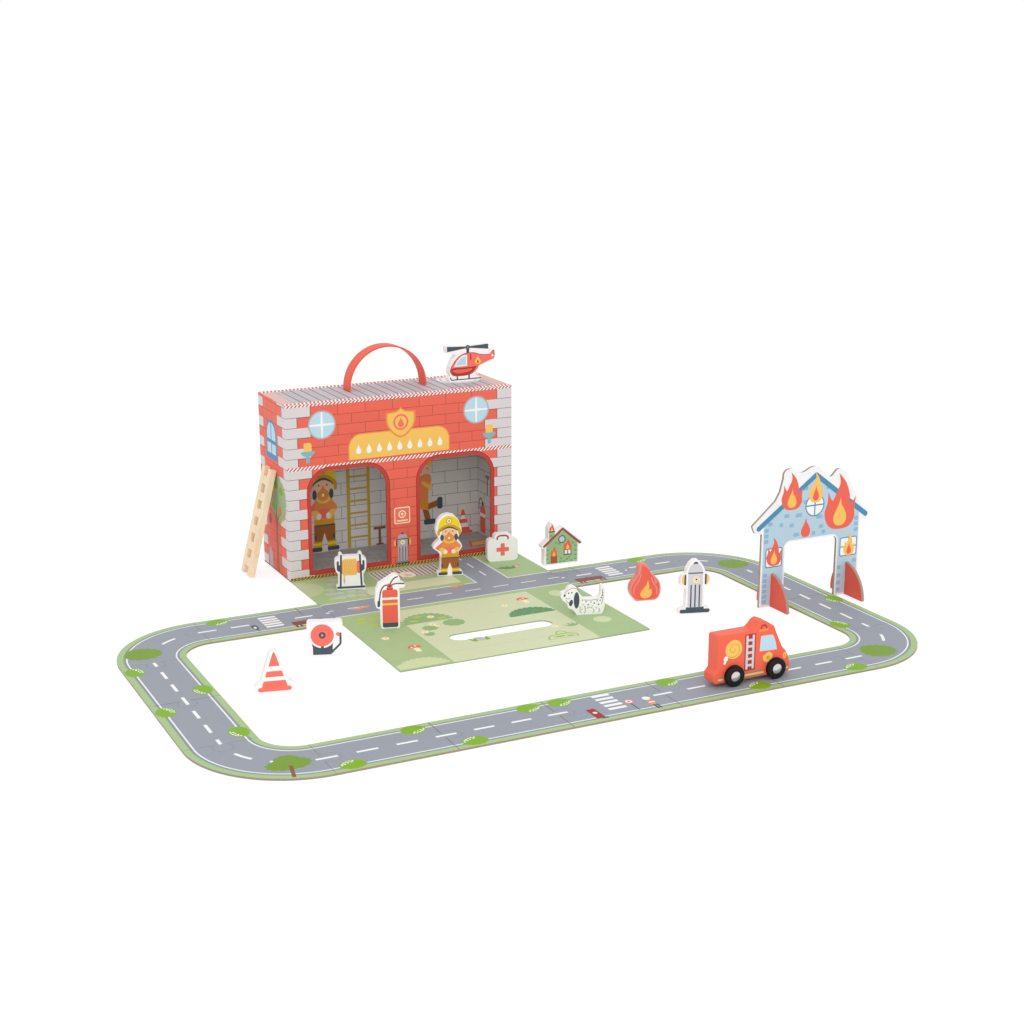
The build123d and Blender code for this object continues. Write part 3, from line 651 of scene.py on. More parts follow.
def print_case(inks, sizes):
    """Every printed face of the case, told apart by where it lies."""
    finish = Finish("case_print")
    whole, x, y, z = finish.place()
    over_x, over_y = abs(x), abs(y)
    wide, deep = x - CASE_LEFT, y - CASE_FRONT
    pitch, plank_width = sizes.stripe_pitch / MM, sizes.plank_pitch / MM
    row_height = sizes.brick_height / MM
    skin = 0.1
    white, dark = linear(INKS["white"]), linear("A8433E")
    brick = tuple(inks.brick)
    paler = tuple(min(1, c * 1.06) for c in brick)
    quoin = tuple(inks.quoin)

    def bricks(across, up, length, height, one, other, joint, thick):
        return finish.node(
            "ShaderNodeTexBrick",
            {"offset": 0.5, "offset_frequency": 2},
            {"Vector": finish.join(across, up), "Color1": one, "Color2": other, "Mortar": joint,
             "Scale": 1, "Mortar Size": thick, "Mortar Smooth": 0, "Bias": 0,
             "Brick Width": length, "Row Height": height},
        )

    level = z - 0.5
    even_row = ((level / row_height).floor() / 2).part(1) < 0.25
    row_line = level.part(row_height) * row_height < 0.55

    def walls(across, span, left_even, left_odd, right_even, right_odd):
        """Bricks with corner stones that are long and short in turn."""
        surface = bricks(across + 22.4, level, sizes.brick_length / MM, row_height, brick, paler, dark, 0.26)
        left = left_odd + even_row * (left_even - left_odd)
        right = span - right_odd - even_row * (right_even - right_odd)
        stones = (across < left) | (across > right)
        seams = (abs(across - left) < 0.35) | (abs(across - right) < 0.35) | (stones & row_line)
        return finish.layers(surface, (stones, quoin), (seams, linear("74494B")))

    front = walls(wide, CASE_WIDTH, 32, 15, 20.5, 37.5)
    bay_x = (abs(over_x - BAY_MIDDLE) - BAY_STRAIGHT).at_least(0)
    bay_out = bay_x.length_with((z - BAY_SPRING).at_least(0)) - BAY_RADIUS
    candy = slanting(finish, wide - z, pitch, linear("CC5044"), white)
    hazard = slanting(finish, wide - z, pitch * 0.9, linear("3E3B36"), linear("D9BF55"))
    front = finish.layers(
        front,
        (z.within(BAND_LOW, BAND_HIGH), candy),
        (z > RIM_LOW, candy),
        ((bay_out < 5) & (z > 5), linear("9C332F")),
        ((bay_out < 4.1) & (z > 5.8), linear("C4453D")),
        (z < 4, hazard),
    )
    side = finish.layers(walls(deep, CASE_DEPTH, 12, 30, 18, 0), (z < 1.4, linear("6E3A38")))
    plank = tuple(inks.plank)
    blush = linear("EDBCB2")
    planks_end = 133
    fade = ((over_x - planks_end) / (CASE_RIGHT - planks_end)).at_least(0).at_most(1)
    ends = finish.mix(tuple((a + b) / 2 for a, b in zip(plank, blush)), blush, fade)
    helipad = (257, 68)
    roof = finish.layers(
        finish.mix(plank, tuple(c * 0.93 for c in plank), ((wide / plank_width).floor() / 2).part(1) < 0.25),
        (wide.part(plank_width) < 0.1, linear("2E3236")),
        (over_x > planks_end, ends),
        (over_x.within(planks_end - 0.4, planks_end + 0.3), linear("B58E90")),
        (finish.disc(wide, deep, helipad, 28), white),
        (finish.disc(wide, deep, helipad, 24.5), linear(INKS["pewter"])),
        (finish.disc(wide, deep, helipad, 22.5), white),
        (over_y > 39, slanting(finish, wide - 0.28 * deep, pitch, linear("D9574B"), white)),
        (over_x > CASE_RIGHT - 0.8, linear("DD6558")),
    )
    grey = tuple(inks.inner_brick)
    inner_side = over_x > CASE_RIGHT - BOARD - skin
    run = x * (1 - inner_side) + y * inner_side
    inner = bricks(run + 9, z + 4.2, 36.5, 15.8, grey, tuple(c * 0.92 for c in grey), linear("77716F"), 0.3)
    tiles = bricks(x, y + 8, 24, 16, linear("BCB8B8"), linear("B0ACAD"), linear("8B8788"), 0.3)
    inner = finish.layers(inner, (z < BOARD + skin, tiles), (z > CASE_TOP - BOARD - 2 * skin, grey))
    cut = (bay_out < 0.4) & y.within(CASE_FRONT + skin, CASE_FRONT + BOARD - skin) & (z > 9.5)
    rear = finish.layers(walls(wide, CASE_WIDTH, 32, 15, 20.5, 37.5), (z > RIM_LOW, candy))
    colour = finish.layers(
        inner,
        (cut, linear("A8352F")),
        (over_y > CASE_BACK - skin, finish.mix(rear, front, (y < 0))),
        (over_x > CASE_RIGHT - skin, side),
        (z > CASE_TOP - skin, roof),
        (z < skin, linear("8D8480")),
    )
    worn = 0.5
    side_edge, front_edge = over_x > CASE_RIGHT - worn, over_y > CASE_BACK - worn
    corner = (side_edge & front_edge) | ((z > CASE_TOP - worn) & (side_edge | front_edge))
    rubbed = corner & (finish.noise(whole, 0.12, 3) > 0.52)
    colour = finish.layers(colour, (rubbed * 0.5, linear("F3E3DC")))
    dress([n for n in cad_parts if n.startswith("case_")], finish.close(colour, whole, grain=1.1))


def print_mat(inks, sizes):
    """Lawns, roads and the striped grate, over all three panels."""
    finish = Finish("mat_print")
    whole, x, y, z = finish.place()
    wide, deep = x - CASE_LEFT, y - CASE_FRONT
    white = linear("F2F3F0")
    grass, lawn, asphalt = tuple(inks.grass), tuple(inks.lawn), tuple(inks.asphalt)
    street_near, street_far, lane_left, lane_right = -157, -106, 198.5, 243
    line, lane_line = 2, 1.8
    street, lane = deep.within(street_near, street_far), wide.within(lane_left, lane_right)
    road = street | (lane & (deep > street_far - line))
    opening = wide.within(lane_left + line, lane_right - line)
    kerb = deep.within(street_far - line, street_far) & (1 - opening)
    kerb = kerb | deep.within(street_near, street_near + line)
    between_kerbs = wide.within(lane_left + lane_line, lane_right - lane_line)
    lane_kerb = lane & (1 - between_kerbs) & (deep > street_far - line)

    def dashes(along, start, step, share, aside, centre):
        """Dashes along one way, in a line round a centre on the other."""
        return (abs((along - start).part(step) - 0.5) < share / 2) & (abs(aside - centre) < 1.1)

    street_dashes = dashes(wide, 201.55, 37.3, 0.55, deep, -132)
    lane_dashes = dashes(deep, -58.3, 35.8, 0.54, wide, 222.2) & (deep > street_far + 6)
    grate = wide.within(95, 184) & deep.within(-50, -15)
    stripes = slanting(finish, wide - deep, sizes.stripe_pitch / MM, linear("3E3B36"), linear("D9BF55"))
    colour = finish.layers(
        grass,
        (wide.within(61, 237) & (deep < -165), lawn),
        (wide.within(66, 184) & deep.within(-97, -67), lawn),
        (finish.disc(wide, deep, (-4, -43), 30), linear("C4CFA2")),
        (grate, linear("E4D9D6")),
        (grate & (wide.part(5.4) < 0.42), linear("8B8486")),
        (road, asphalt),
        (kerb | lane_kerb | street_dashes | lane_dashes, white),
        (deep > -6, stripes),
        (z < 1.3, linear("9DB083")),
    )
    fleck = finish.noise(whole, 0.5, 2) > 0.66
    colour = finish.layers(colour, (fleck * 0.12, linear("8FB070")))
    dress(["mat_front_panel", "mat_top_panel", "mat_tail_panel"], finish.close(colour, whole, grain=1.1))


def print_road(inks, sizes):
    """One road round the whole ring, from its distance to the ring's middle line."""
    finish = Finish("road_print")
    whole, x, y, z = finish.place()
    from_middle = y - RING_MIDDLE
    past_row, past_column = abs(x) - RING_HALF_ROW, abs(from_middle) - RING_HALF_COLUMN
    off = abs(past_row.at_least(0).length_with(past_column.at_least(0)) - RING_BEND)
    pitch = sizes.dash_pitch / MM
    on_row, on_column, at_back = past_row < 0, past_column < 0, from_middle > 0
    sweep = finish.node("ShaderNodeMath", {"operation": "ARCTAN2"}, (past_column, past_row)) * RING_BEND
    sweep = sweep + 7 * at_back

    def dashes(along, centre, step=pitch):
        """Dashes whose middles lie at a centre and at each step from it."""
        return abs((along - centre + step / 2).part(step) - 0.5) < 10.6 / step

    turning = (1 - on_row) & (1 - on_column) & dashes(sweep, 37.6) & sweep.within(20, 100)
    near_row = past_row < 8
    front_row = near_row & (1 - at_back) & dashes(abs(x), pitch / 2) & (abs(x) > 45)
    back_row = near_row & at_back & dashes(abs(x), 144, 37.5) & (1 - abs(x).within(204, 233))
    dashed = front_row | back_row | (on_column & dashes(from_middle, 0)) | turning
    grass, asphalt = tuple(inks.grass), tuple(inks.asphalt)

    def joins(along):
        """Hairlines where two tiles meet."""
        return abs(along.part(TILE_LENGTH) - 0.5) < 0.003

    seam = (on_row & joins(x)) | (on_column & joins(from_middle + 1.5 * TILE_LENGTH))
    line_inner, line_outer, verge, half_dash, knob = 24.9, 26.6, 29, 1.7, 5.6
    colour = finish.layers(
        asphalt,
        (off > line_outer, tuple(c * 0.86 for c in asphalt)),
        (off.within(line_inner, line_outer), linear("F5F6F8")),
        (off > verge, grass),
        (off.within(verge - 0.4, verge + 0.2), linear("8CA38C")),
        ((off < half_dash) & dashed, linear("FAFAFA")),
        (seam & (off > knob), linear("69514A")),
        (z < 1.95, linear("8F9678")),
        (z < 1.1, linear("A98C7E")),
    )
    fleck = finish.noise(whole, 0.9, 2) > 0.62
    colour = finish.layers(colour, (fleck * 0.1, linear("D7DADF")))
    nodes = [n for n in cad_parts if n.startswith("road_")]
    dress(nodes, finish.close(colour, whole, grain=1.4, roughness=0.55))


def plain_finish(name, colour, **looks):
    """One colour with a fine grain."""
    finish = Finish(name)
    return finish.close(colour, finish.place()[0], **looks)


def wood_finish():
    """Pale pine with its grain along the ladder."""
    finish = Finish("pine")
    whole, x, y, z = finish.place()
    streaks = finish.noise(finish.join(y * 1.2 + x * 0.4, z * 0.06, x * 0.3), 0.7, 4)
    knots = finish.noise(finish.join(y, z * 0.3, x), 0.05, 2)
    colour = finish.node(
        "ShaderNodeValToRGB",
        {"stops": [(0.3, linear("F1D4A8")), (0.7, linear("FFEFD6"))]},
        (streaks * 0.75 + knots * 0.25,),
    )
    return finish.close(colour, whole, grain=0.9, roughness=0.62, bump=0.3)


def dress_boards(label, names, axis, face):
    """Gives boards that stand across an axis a printed face, with the bare grey board in their cut edges."""
    finish = Finish(label)
    whole, *parts = finish.place()
    off, *others = [abs(parts[axis] - middle(name)[axis]) for name in names]
    for other in others:
        off = off.at_most(other)
    edge, half_core = linear("B39D90"), 1.7
    fibres = finish.noise(whole, 1.4, 3)
    edge_colour = finish.mix(edge, tuple(c * 0.8 for c in edge), fibres)
    colour = finish.layers(face, (off < half_core, edge_colour))
    dress(names, finish.close(colour, whole, grain=1.1))


def wheel_finish():
    """Black rubbery plastic with fine rings turned into its face."""
    finish = Finish("tyre")
    whole, x, y, z = finish.place()
    rear, _, axle_height = middle("rear_wheel_near")
    front = middle("front_wheel_near")[0]
    centre = rear + (front - rear) * (x > (rear + front) / 2)
    radius = (x - centre).length_with(z - axle_height)
    colour = finish.layers(linear("0E0E0F"), (radius.within(8.6, 9), linear("242426")))
    material = finish.close(colour, whole, grain=1.6, roughness=0.5)
    turned = radius.part(1.1)
    relief = finish.node("ShaderNodeBump", values={"Strength": 0.25, "Distance": 0.0002, "Height": turned})
    finish.put(finish.shader.inputs["Normal"], relief)
    return material


# Prints


def station_pages():
    """Windows, sign, torches and the other pictures on the case."""
    front = Print("front_print", "station", "case_board", (CASE_LEFT, CASE_FRONT, 0))
    for x, y in ((46.2, 191), (250.6, 191)):
        crossed_window(front, x, y, 17.6, 1.8, 2.2)
    front.add("orange", box(79, 144, 214, 176, (0, 0, 17, 17)))
    front.add("yellow", box(80.4, 144, 212.6, 174.6, (0, 0, 15.8, 15.8)))
    for n in range(9):
        front.add("white", moved(DROP, 92.5 + n * 13.5, 150.5, 6.6, 12.5))
    shield = smooth([(148.5, 204), (148.5, 204), (155, 199.5), (168, 198), (168, 198), (167.6, 184),
                     (160, 172), (148.5, 165.6), (137, 172), (129.4, 184), (129, 198), (129, 198),
                     (142, 199.5)])
    front.add("orange", shield)
    front.add("yellow", moved(shield, 148.5 - 148.5 * 0.88, 185 - 185 * 0.88, 0.88, 0.88))
    rings(front, 148.5, 185, ("coral", 10, 40), ("yellow", 7.6, 40))
    front.add("coral", moved(DROP, 148.5, 178.6, 8, 13))
    for x in (27.4, 268.6):
        front.add("torch_blue", box(x - 2.2, 146, x + 2.2, 156, 0.6))
        front.add("torch_blue", [(x - 8.5, 160), (x - 8.5, 157.4), (x - 4.4, 154), (x + 4.4, 154),
                                 (x + 8.5, 157.4), (x + 8.5, 160)])
        front.add("yellow", box(x - 5, 160, x + 5, 170.5, (0.6, 0.6, 3, 1.4)))
    front.add("slate", box(139, 3.6, 157, 5.6, 0.8))
    front.add("shade_grey", box(140.6, 5.2, 155.4, 8, 0.8))
    front.add("pewter", box(141.6, 7.4, 154.4, 36))
    front.add("pewter", oval(148, 36, 6.9, 6.8, 0, 180, 20))
    front.add("slate", box(146, 42, 150, 44.4, 0.9), box(140.6, 35.4, 155.4, 36.6, 0.5))
    front.add("slate", *(box(x - 0.5, 8, x + 0.5, 26, 0.5) for x in (144, 148, 152)))
    front.add("yellow", oval(138.8, 31.4, 2.2, 4.4, 90, 270, 12), oval(157.2, 31.4, 2.2, 4.4, -90, 90, 12))
    front.add("slate", box(139, 27, 140.8, 35.8, 0.7), box(155.2, 27, 157, 35.8, 0.7))
    rings(front, 148, 31.4, ("cream", 2.9, 20), ("ochre", 1.2, 14))
    front.add("cream", box(137.5, 56, 158.7, 77, 2))
    front.add("coral", box(138.7, 57.2, 157.5, 75.8, 1.4))
    front.add("cream", box(140.6, 59, 155.6, 60.6, 0.6))
    rings(front, 148.1, 68, ("cream", 5, 30), ("coral", 3.6, 30), ("cream", 1.6, 20))
    front.make()

    left = Print("left_print", "station", "case_board", (CASE_LEFT, CASE_FRONT, 0), Y, Z, True)
    arched_window(left)
    left.add("tree_green", scallops(37.5, 96, 29.4, 27.5, 15, swell=0.1))
    left.add("leaf", *(scallops(u, v, 6.4, 4.6, 6) for u, v in ((24, 108), (48, 112), (54, 84))))
    left.add("brown", [(39.5, 0.5), (50, 0.5), (48, 20), (47.4, 64), (55, 78), (46.4, 71), (44.4, 92),
                       (42, 70), (33, 79), (41, 62), (41.4, 20)])
    left.add("red", oval(29, 82, 4, 6.5, steps=20), oval(56, 100, 3.2, steps=16),
             oval(39, 111, 3.2, steps=16))
    left.add("dark_red", scallops(69, 64, 4.6, 6.4, 7))
    left.add("pewter", smooth([(66, 1), (66, 1), (78, 1), (78, 1), (79, 16), (73, 27), (66, 18)]))
    left.make()

    outer = Print("right_print", "station", "case_board", (CASE_RIGHT, CASE_FRONT, 0), Y)
    arched_window(outer)
    outer.make()

    back = Print("garage_print", "station", "case_board", (CASE_LEFT, CASE_BACK - BOARD, 0))
    firefighter_print(back, 60, 1.5, 1.3, 1.56)
    back.add("mustard", box(112, 2.4, 116.6, 122), box(140, 2.4, 144, 122))
    back.add("mustard", *(box(116, 15 + 16.2 * n, 140, 17.6 + 16.2 * n) for n in range(7)))
    back.add("bark", box(148, 23, 165, 26.6, 1), box(154.8, 3, 158.2, 23.4), box(151.4, 1.4, 161.6, 4, 0.8))
    back.add("silver", box(227, 2.4, 230, 132))
    back.add("brown", bar((221, 45), (225, 29), 8), bar((223, 44), (240, 49), 8))
    back.add("slate", box(219.5, 20.6, 236, 28, 2.6), box(239, 40.5, 246.6, 56.4, 2.6))
    back.add("orange", smooth([(213.6, 82), (218, 88.6), (228, 89), (231, 80), (226.6, 66), (226, 40),
                               (226, 40), (213.8, 43), (213.8, 43), (212.6, 60)]))
    back.add("ochre", box(213.4, 46, 226.6, 51, 0.8))
    back.add("yellow", bar((219, 78), (230, 70), 5), oval(229.6, 69.6, 3.4, steps=16))
    back.add("skin", oval(222, 97.4, 8.6, 8, steps=28))
    back.add("helmet_yellow", oval(222, 101, 10.6, 12, 0, 180, 18))
    back.add("slate", oval(225, 97, 0.9, steps=10))
    back.add("red", [(266.4, 4), (287, 4), (277.6, 35), (274.6, 35)], box(262.6, 2.2, 290, 5.6, 1))
    back.add("white", [(268.8, 10.6), (284.6, 10.6), (282.8, 16.4), (270.6, 16.4)],
             [(272.2, 22), (280.6, 22), (279, 27), (273.4, 27)])
    back.make()

    inner_right = (CASE_RIGHT - BOARD, CASE_FRONT, 0)
    right = Print("garage_side_print", "station", "case_board", inner_right, Y, Z, True)
    right.add("red", box(74, 4, 90, 42, (2, 2, 7, 7)))
    right.add("white", box(74, 26, 90, 31))
    right.add("slate", box(79.4, 42, 85, 47, 1), stroke([(82, 46), (88, 50.4), (93, 45), (93, 35)], 1.6))
    right.add("bark", box(66.6, 58, 69, 85, 0.8))
    right.add("shade_grey", [(61.6, 86.6), (73.4, 85.6), (73.4, 82), (61.6, 81)])
    right.make()

    floor = Print("garage_floor_print", "station", "case_board", (CASE_LEFT, CASE_FRONT, BOARD), X, Y)
    floor.add("silver", oval(58, 24, 17, 7))
    floor.add("shade_grey", oval(58, 24, 14.5, 5.6))
    floor.add("red", [(258, 35), (287, 35), (295, 59), (266, 59)])
    floor.add("yellow", [(263, 39), (285, 39), (290, 55), (268, 55)])
    floor.add("silver", *(bar((96 + 6 * n, 10), (104 + 6 * n, 30), 2) for n in range(5)))
    floor.make()


def mat_pages():
    """Stones, bushes, flowers and mushrooms on the mat's three panels."""
    chosen = random.Random(STONE_SEED)
    front = Print("mat_front_print", "mat_front", "mat_board", (CASE_LEFT, CASE_FRONT, BOARD), X, Y)
    stones = ((48, -22), (40, -36), (54, -38), (30, -57), (46, -56), (60, -58), (36, -73), (51, -73),
              (64, -78), (25, -72), (45, -88), (58, -92), (32, -90), (23, -90))
    for x, y in stones:
        rx, ry = chosen.uniform(5.4, 7), chosen.uniform(4.4, 5.8)
        points = []
        for n in range(10):
            a = n * math.pi / 5
            points.append((x + rx * math.cos(a) * chosen.uniform(0.9, 1.08),
                           y + ry * math.sin(a) * chosen.uniform(0.9, 1.08)))
        front.add("stone", smooth(points, 4))
    for x, y in ((16, -98), (64, -46), (78, -98), (22, -60), (14, -22), (78, -62), (56, -101)):
        front.add("lime", scallops(x, y, 4.4, 1.8, 5, swell=0.4))
    front.add("cream", scallops(137, -40, 9.4, 11.6, 6, swell=0.1))
    front.add("silver", moved(DROP, 137, -48, 9, 15))
    front.add("lime", *(scallops(x, y, 5.4, 2.6, 5, swell=0.4) for x, y in
                        ((19.9, -186.9), (36.1, -179.5), (22.9, -173), (29.4, -199.3))))
    front.add("bush", [(61, -216), (118, -216), *scallops(89.5, -216, 28, 28, 13, 0, 180, 0.1)])
    front.add("lime", *(scallops(x, y, 4.4, 2, 5, swell=0.4)
                        for x, y in ((74, -207), (84, -195), (108, -209))))
    blossom(front, 97.7, -200.8, 4.4)
    blossom(front, 190.6, -202.1, 4)
    mushroom(front, 220, -194, 15, 22)
    front.add("pale_green", oval(267.3, -187.6, 9.6, 11.5, steps=28))
    front.add("deep_bush", *(moved(DROP, x, y, 5, 13, t) for x, y, t in
                             ((259, -70, 40), (263, -72, 10), (267, -72, -25), (270, -68, -60),
                              (256, -70, 75))))
    front.add("deep_bush", oval(262, -72, 8, 3, steps=20))
    for n in range(6):
        front.add("pink", moved(DROP, 273.5, -67.4, 2.6, 6, 60 * n))
    front.add("cream", oval(273.5, -67.4, 1.4, steps=10))
    for x, y in ((39, -137.5), (173, -110.5)):
        front.add("pastel_orange", moved(DROP, x, y, 7, 14, 80), moved(DROP, x + 3, y + 1, 6, 12, -60),
                  moved(DROP, x + 1, y, 5, 9, 10))
    front.make()

    top = Print("mat_top_print", "mat_top", "mat_board", (CASE_LEFT, CASE_FRONT, BOARD), X, Y)
    top.add("deep_bush", [(179.3, -243.3), (235.3, -243.3),
                          *scallops(207.3, -243.3, 27, 22.4, 13, 0, 180, 0.1)])
    for n in range(11):
        top.add("leaf", oval(186 + 4.2 * n, -236 + 6 * math.sin(n * 2.1), 1.7, 1.1, steps=10))
    top.add("bush", scallops(82, -236, 8.5, 7.5, 8), scallops(73, -254, 6, 6, 7),
            scallops(113.5, -230, 12, 10.6, 10))
    blossom(top, 88.8, -226.7, 4.4)
    blossom(top, 91.2, -233.6, 2.6)
    blossom(top, 71, -246.5, 4.4)
    blossom(top, 23.9, -246.5, 4.4)
    blossom(top, 208.9, -293.1, 4)
    mushroom(top, 41.5, -290, 16, 22)
    top.add("stone", oval(115, -299, 9, 12, 0, 180, 16))
    top.add("leaf", *(moved(DROP, x, y, 3.4, 13, t) for x, y, t in
                      ((108, -298, 18), (110, -299, -4), (122, -299, -22), (125, -299, 4))))
    top.add("pale_green", oval(268.4, -294.4, 10.3, steps=28))
    top.add("bush", *(moved(DROP, 229.5, -300, 4.6, 14, t) for t in (-50, -15, 20, 60)))
    top.add("leaf", [*oval(204.6, -316.9, 6.6, 8.5, 180, 0, 12), (211, -317)])
    top.add("pale_green", oval(204.6, -316.9, 5.4, 7.2, 180, 0, 12))
    top.make()

    tail = Print("mat_tail_print", "mat_tail", "mat_board", (CASE_LEFT, CASE_FRONT, BOARD), X, Y)
    tail.add("pale_green", box(0.6, -344.6, 50, -331),
             [(0.5, -344), (59, -344), *scallops(29.8, -344, 26.6, 23.2, 13, 0, 180, 0.1)])
    cloud = smooth([(183, -331), (183, -331), (218.5, -331), (218.5, -331), (219.4, -324), (212.3, -318.4),
                    (205, -318), (196, -318.2), (189.5, -319), (183.6, -325)])
    tail.add("leaf", cloud)
    tail.add("pale_green", moved(cloud, 201 - 201 * 0.93, -325.4 + 325 * 0.86, 0.93, 0.86))
    tail.add("leaf", scallops(198, -325, 6, 1.4, 5), scallops(210, -327, 4, 1.2, 4))
    tail.make()


def road_page():
    """Bushes, trees, crossings and small pictures on the tiles."""
    page = Print("road_print_marks", "station", "road_board", (0, 0, BOARD), X, Y)
    bushes = [(x, -595.7, 0) for x in (-279.4, -158.6, 158.6, 279.4)]
    bushes += [(x, -547, 180) for x in (-200, -78, -43.9, 79.8)] + [(x, -162.5, 180) for x in (-275.1, 271.3)]
    bushes += [(-397.5, y, -90) for y in (-279.8, -400.8)] + [(-348.5, y, 90) for y in (-357.4, -478.2)]
    bushes += [(397.5, y, 90) for y in (-401.3, -281)] + [(347.6, y, -90) for y in (-479.3, -358)]
    for x, y, turn in bushes:
        bush(page, x, y, turn)
    for x, y in ((-376, -229), (332, -567), (372, -231)):
        page.add("olive", scallops(x, y, 18.6, 16, 14), scallops(x - 4, y + 6, 12, 12.5, 9))
    page.add("olive", scallops(-331, -570, 20, 12, 14), scallops(-330, -562, 12, 11, 9))
    page.add("bark", bar((-335.5, -599), (-330.5, -574), 3.6, square=True))
    for x0, x1, y, pitch in ((-9.5, 10.3, -546.7, 8.75), (-230.6, -210.2, -168.5, 7.8),
                             (206.7, 227, -168.5, 8)):
        page.add("white", *(box(x0, y - pitch * n - 4.9, x1, y - pitch * n) for n in range(5)))
    page.add("case_red", box(-31, -600, -21.5, -576, 1))
    page.add("cream", oval(-25.8, -585.9, 2.4, steps=14))
    page.add("slate", box(-26, -602, -19, -598.6, 0.6))
    page.add("slate", box(16.8, -598, 18.2, -579))
    rings(page, 18.2, -575, ("coral", 5, 24), ("white", 3.6, 20), ("coral", 1.8, 16))
    page.add("orange", box(35, -592, 41, -579, 2))
    page.add("white", oval(38, -575, 4.2, steps=20), box(34.6, -587, 41.4, -584.6))
    page.add("slate", box(35.4, -603, 37.6, -592, 0.8), box(38.6, -603, 40.8, -592, 0.8))
    for x0, y1 in ((-201, -198.5), (161, -198.6)):
        page.add("bark", box(x0, y1 - 13, x0 + 37.3, y1, 1))
        page.add("bench_brown", *(box(x0 + 1, y1 - 4 - 4 * n, x0 + 36.3, y1 - 1.2 - 4 * n) for n in range(3)))
        page.add("bench_brown", *(box(x0 + u, y1 - 19.5, x0 + u + 3, y1 - 12.6) for u in (1, 6, 28.6, 33.6)))
    page.add("slate", smooth([(-246, -193), (-241.6, -190), (-239, -194), (-239.6, -203), (-242, -208),
                              (-244.6, -203)]),
             bar((-242, -206), (-241.6, -213), 0.8), oval(239.8, -194.3, 3.8, 2.6, steps=16))
    page.add("white", oval(-242.6, -199, 1.6, 3.4, steps=14), oval(237.8, -194, 2, steps=12))
    page.add("coral", oval(-246.6, -192, 1.2, steps=10), oval(241.6, -195.2, 1.5, steps=10))
    page.make()


# Each toy's corner on what it stands on, its turn in degrees, and how far along the front its picture starts

TOYS = {
    "hose_reel": (-114, -109.54, 2, -16, 18.65),
    "fire_extinguisher": (-118.11, -264.48, 2, -16, 0),
    "firefighter": (17.01, -112.99, 2, -14, 0),
    "first_aid_kit": (98.4, -86.01, 2, -11, 19.75),
    "small_house": (158.19, -126.5, 0, -4, 0),
    "dog": (99.3, -318.88, 2, -18, 0),
    "flame_block": (189.6, -300.2, 0, -14, 0),
    "hydrant": (207.51, -364.3, 0, -17, 18.85),
    "traffic_cone": (-303.19, -386.9, 0, -12, 19.75),
    "alarm_bell": (-220.3, -308.48, 0, -20, 19),
    "helicopter": (89.4, 4.2, 218, 0, 0),
}


def toy_pages(name, draw):
    """The same picture on a toy's front and, mirrored, on its back."""
    x, y, z, turn, inset = TOYS[name]
    angle = math.radians(turn)
    across = Vector((math.cos(angle), math.sin(angle), 0))
    facing = Vector((math.sin(angle), -math.cos(angle), 0))
    slot = "flame_wood" if name == "flame_block" else "toy_wood"
    for side, depth in (("front", 0), ("back", TOY_THICKNESS)):
        origin = Vector((x, y, z)) + inset * across - depth * facing
        page = Print(f"{name}_{side}_print", name, slot, origin, across, Z, depth > 0)
        draw(page)
        page.make()


def draw_hose_reel(page):
    """A yellow reel of hose on its dark stand."""
    for s in (-1, 1):
        page.add("slate", bar((s * 12.6, 3), (s * 11.2, 42.4), 2.3),
                 bar((s * 15.3, 25), (s * 15.3, 34.4), 2.6))
        page.add("slate", box(min(s * 15, s * 10.6), 22.4, max(s * 15, s * 10.6), 30.4, 0.8))
        page.add("dark_red", box(min(s * 11, s * 8), 20, max(s * 11, s * 8), 35, 1))
        page.add("coral", box(min(s * 10.6, s * 7), 21, max(s * 10.6, s * 7), 34, 1))
    page.add("slate", bar((-15.6, 2.6), (15.6, 2.6), 2.7))
    page.add("cream", box(-9, 36, 7.6, 39.2, 1))
    page.add("yellow", box(-9.9, 17.5, 7.3, 37.5, 1.6))
    for n in range(7):
        x = -8.2 + 2.3 * n
        page.add("pastel_orange", bar((x, 19.6), (x + 0.7, 27), 0.6), bar((x + 0.7, 28), (x, 35.6), 0.6))
    page.add("yellow", bar((-7.9, 18), (-7.9, 13), 2))
    page.add("stone", [(-9.2, 13.4), (-6.6, 13.4), (-7.2, 7.6), (-8.6, 7.6)])


def draw_extinguisher(page):
    """A red extinguisher with its hose and horn."""
    page.add("slate", stroke([(9, 50.6), (4, 49.6), (0.4, 44), (-1, 36), (-1.6, 31)], 1.5))
    page.add("slate", bar((-2, 31.4), (-2.2, 27), 3.1))
    page.add("slate", stroke([(10.6, 51), (13, 55.4), (16, 58.4), (19.4, 59.6)], 1.5))
    page.add("slate", stroke([(12.4, 50.6), (18, 51.8), (26.6, 51.2)], 1.5))
    page.add("dark_red", box(6.8, 44.6, 13.8, 47.6, 0.8))
    rings(page, 10.3, 49.2, ("red", 3.2, 24), ("dark_red", 1.7, 18))
    page.add("red", box(1.8, 6.4, 19, 45, (0, 0, 2.6, 2.6)))
    page.add("slate", box(1.8, 1.2, 19, 6.5, (1.8, 1.8, 0, 0)))
    page.add("white", box(1.8, 33.4, 19, 36))
    page.add("yellow", box(1.8, 27, 19, 29.6))


def draw_kit(page):
    """A cross and a handle on the white kit."""
    page.add("dark_red", stroke([(-7.2, 28), (-6.6, 31.4), (-4, 33), (0, 33.2), (4, 33), (6.6, 31.4),
                                 (7.2, 28)], 2))
    page.add("coral", box(-8.1, 12.3, 8.1, 17.7, 0.5), box(-2.7, 6.9, 2.7, 23.1, 0.5))


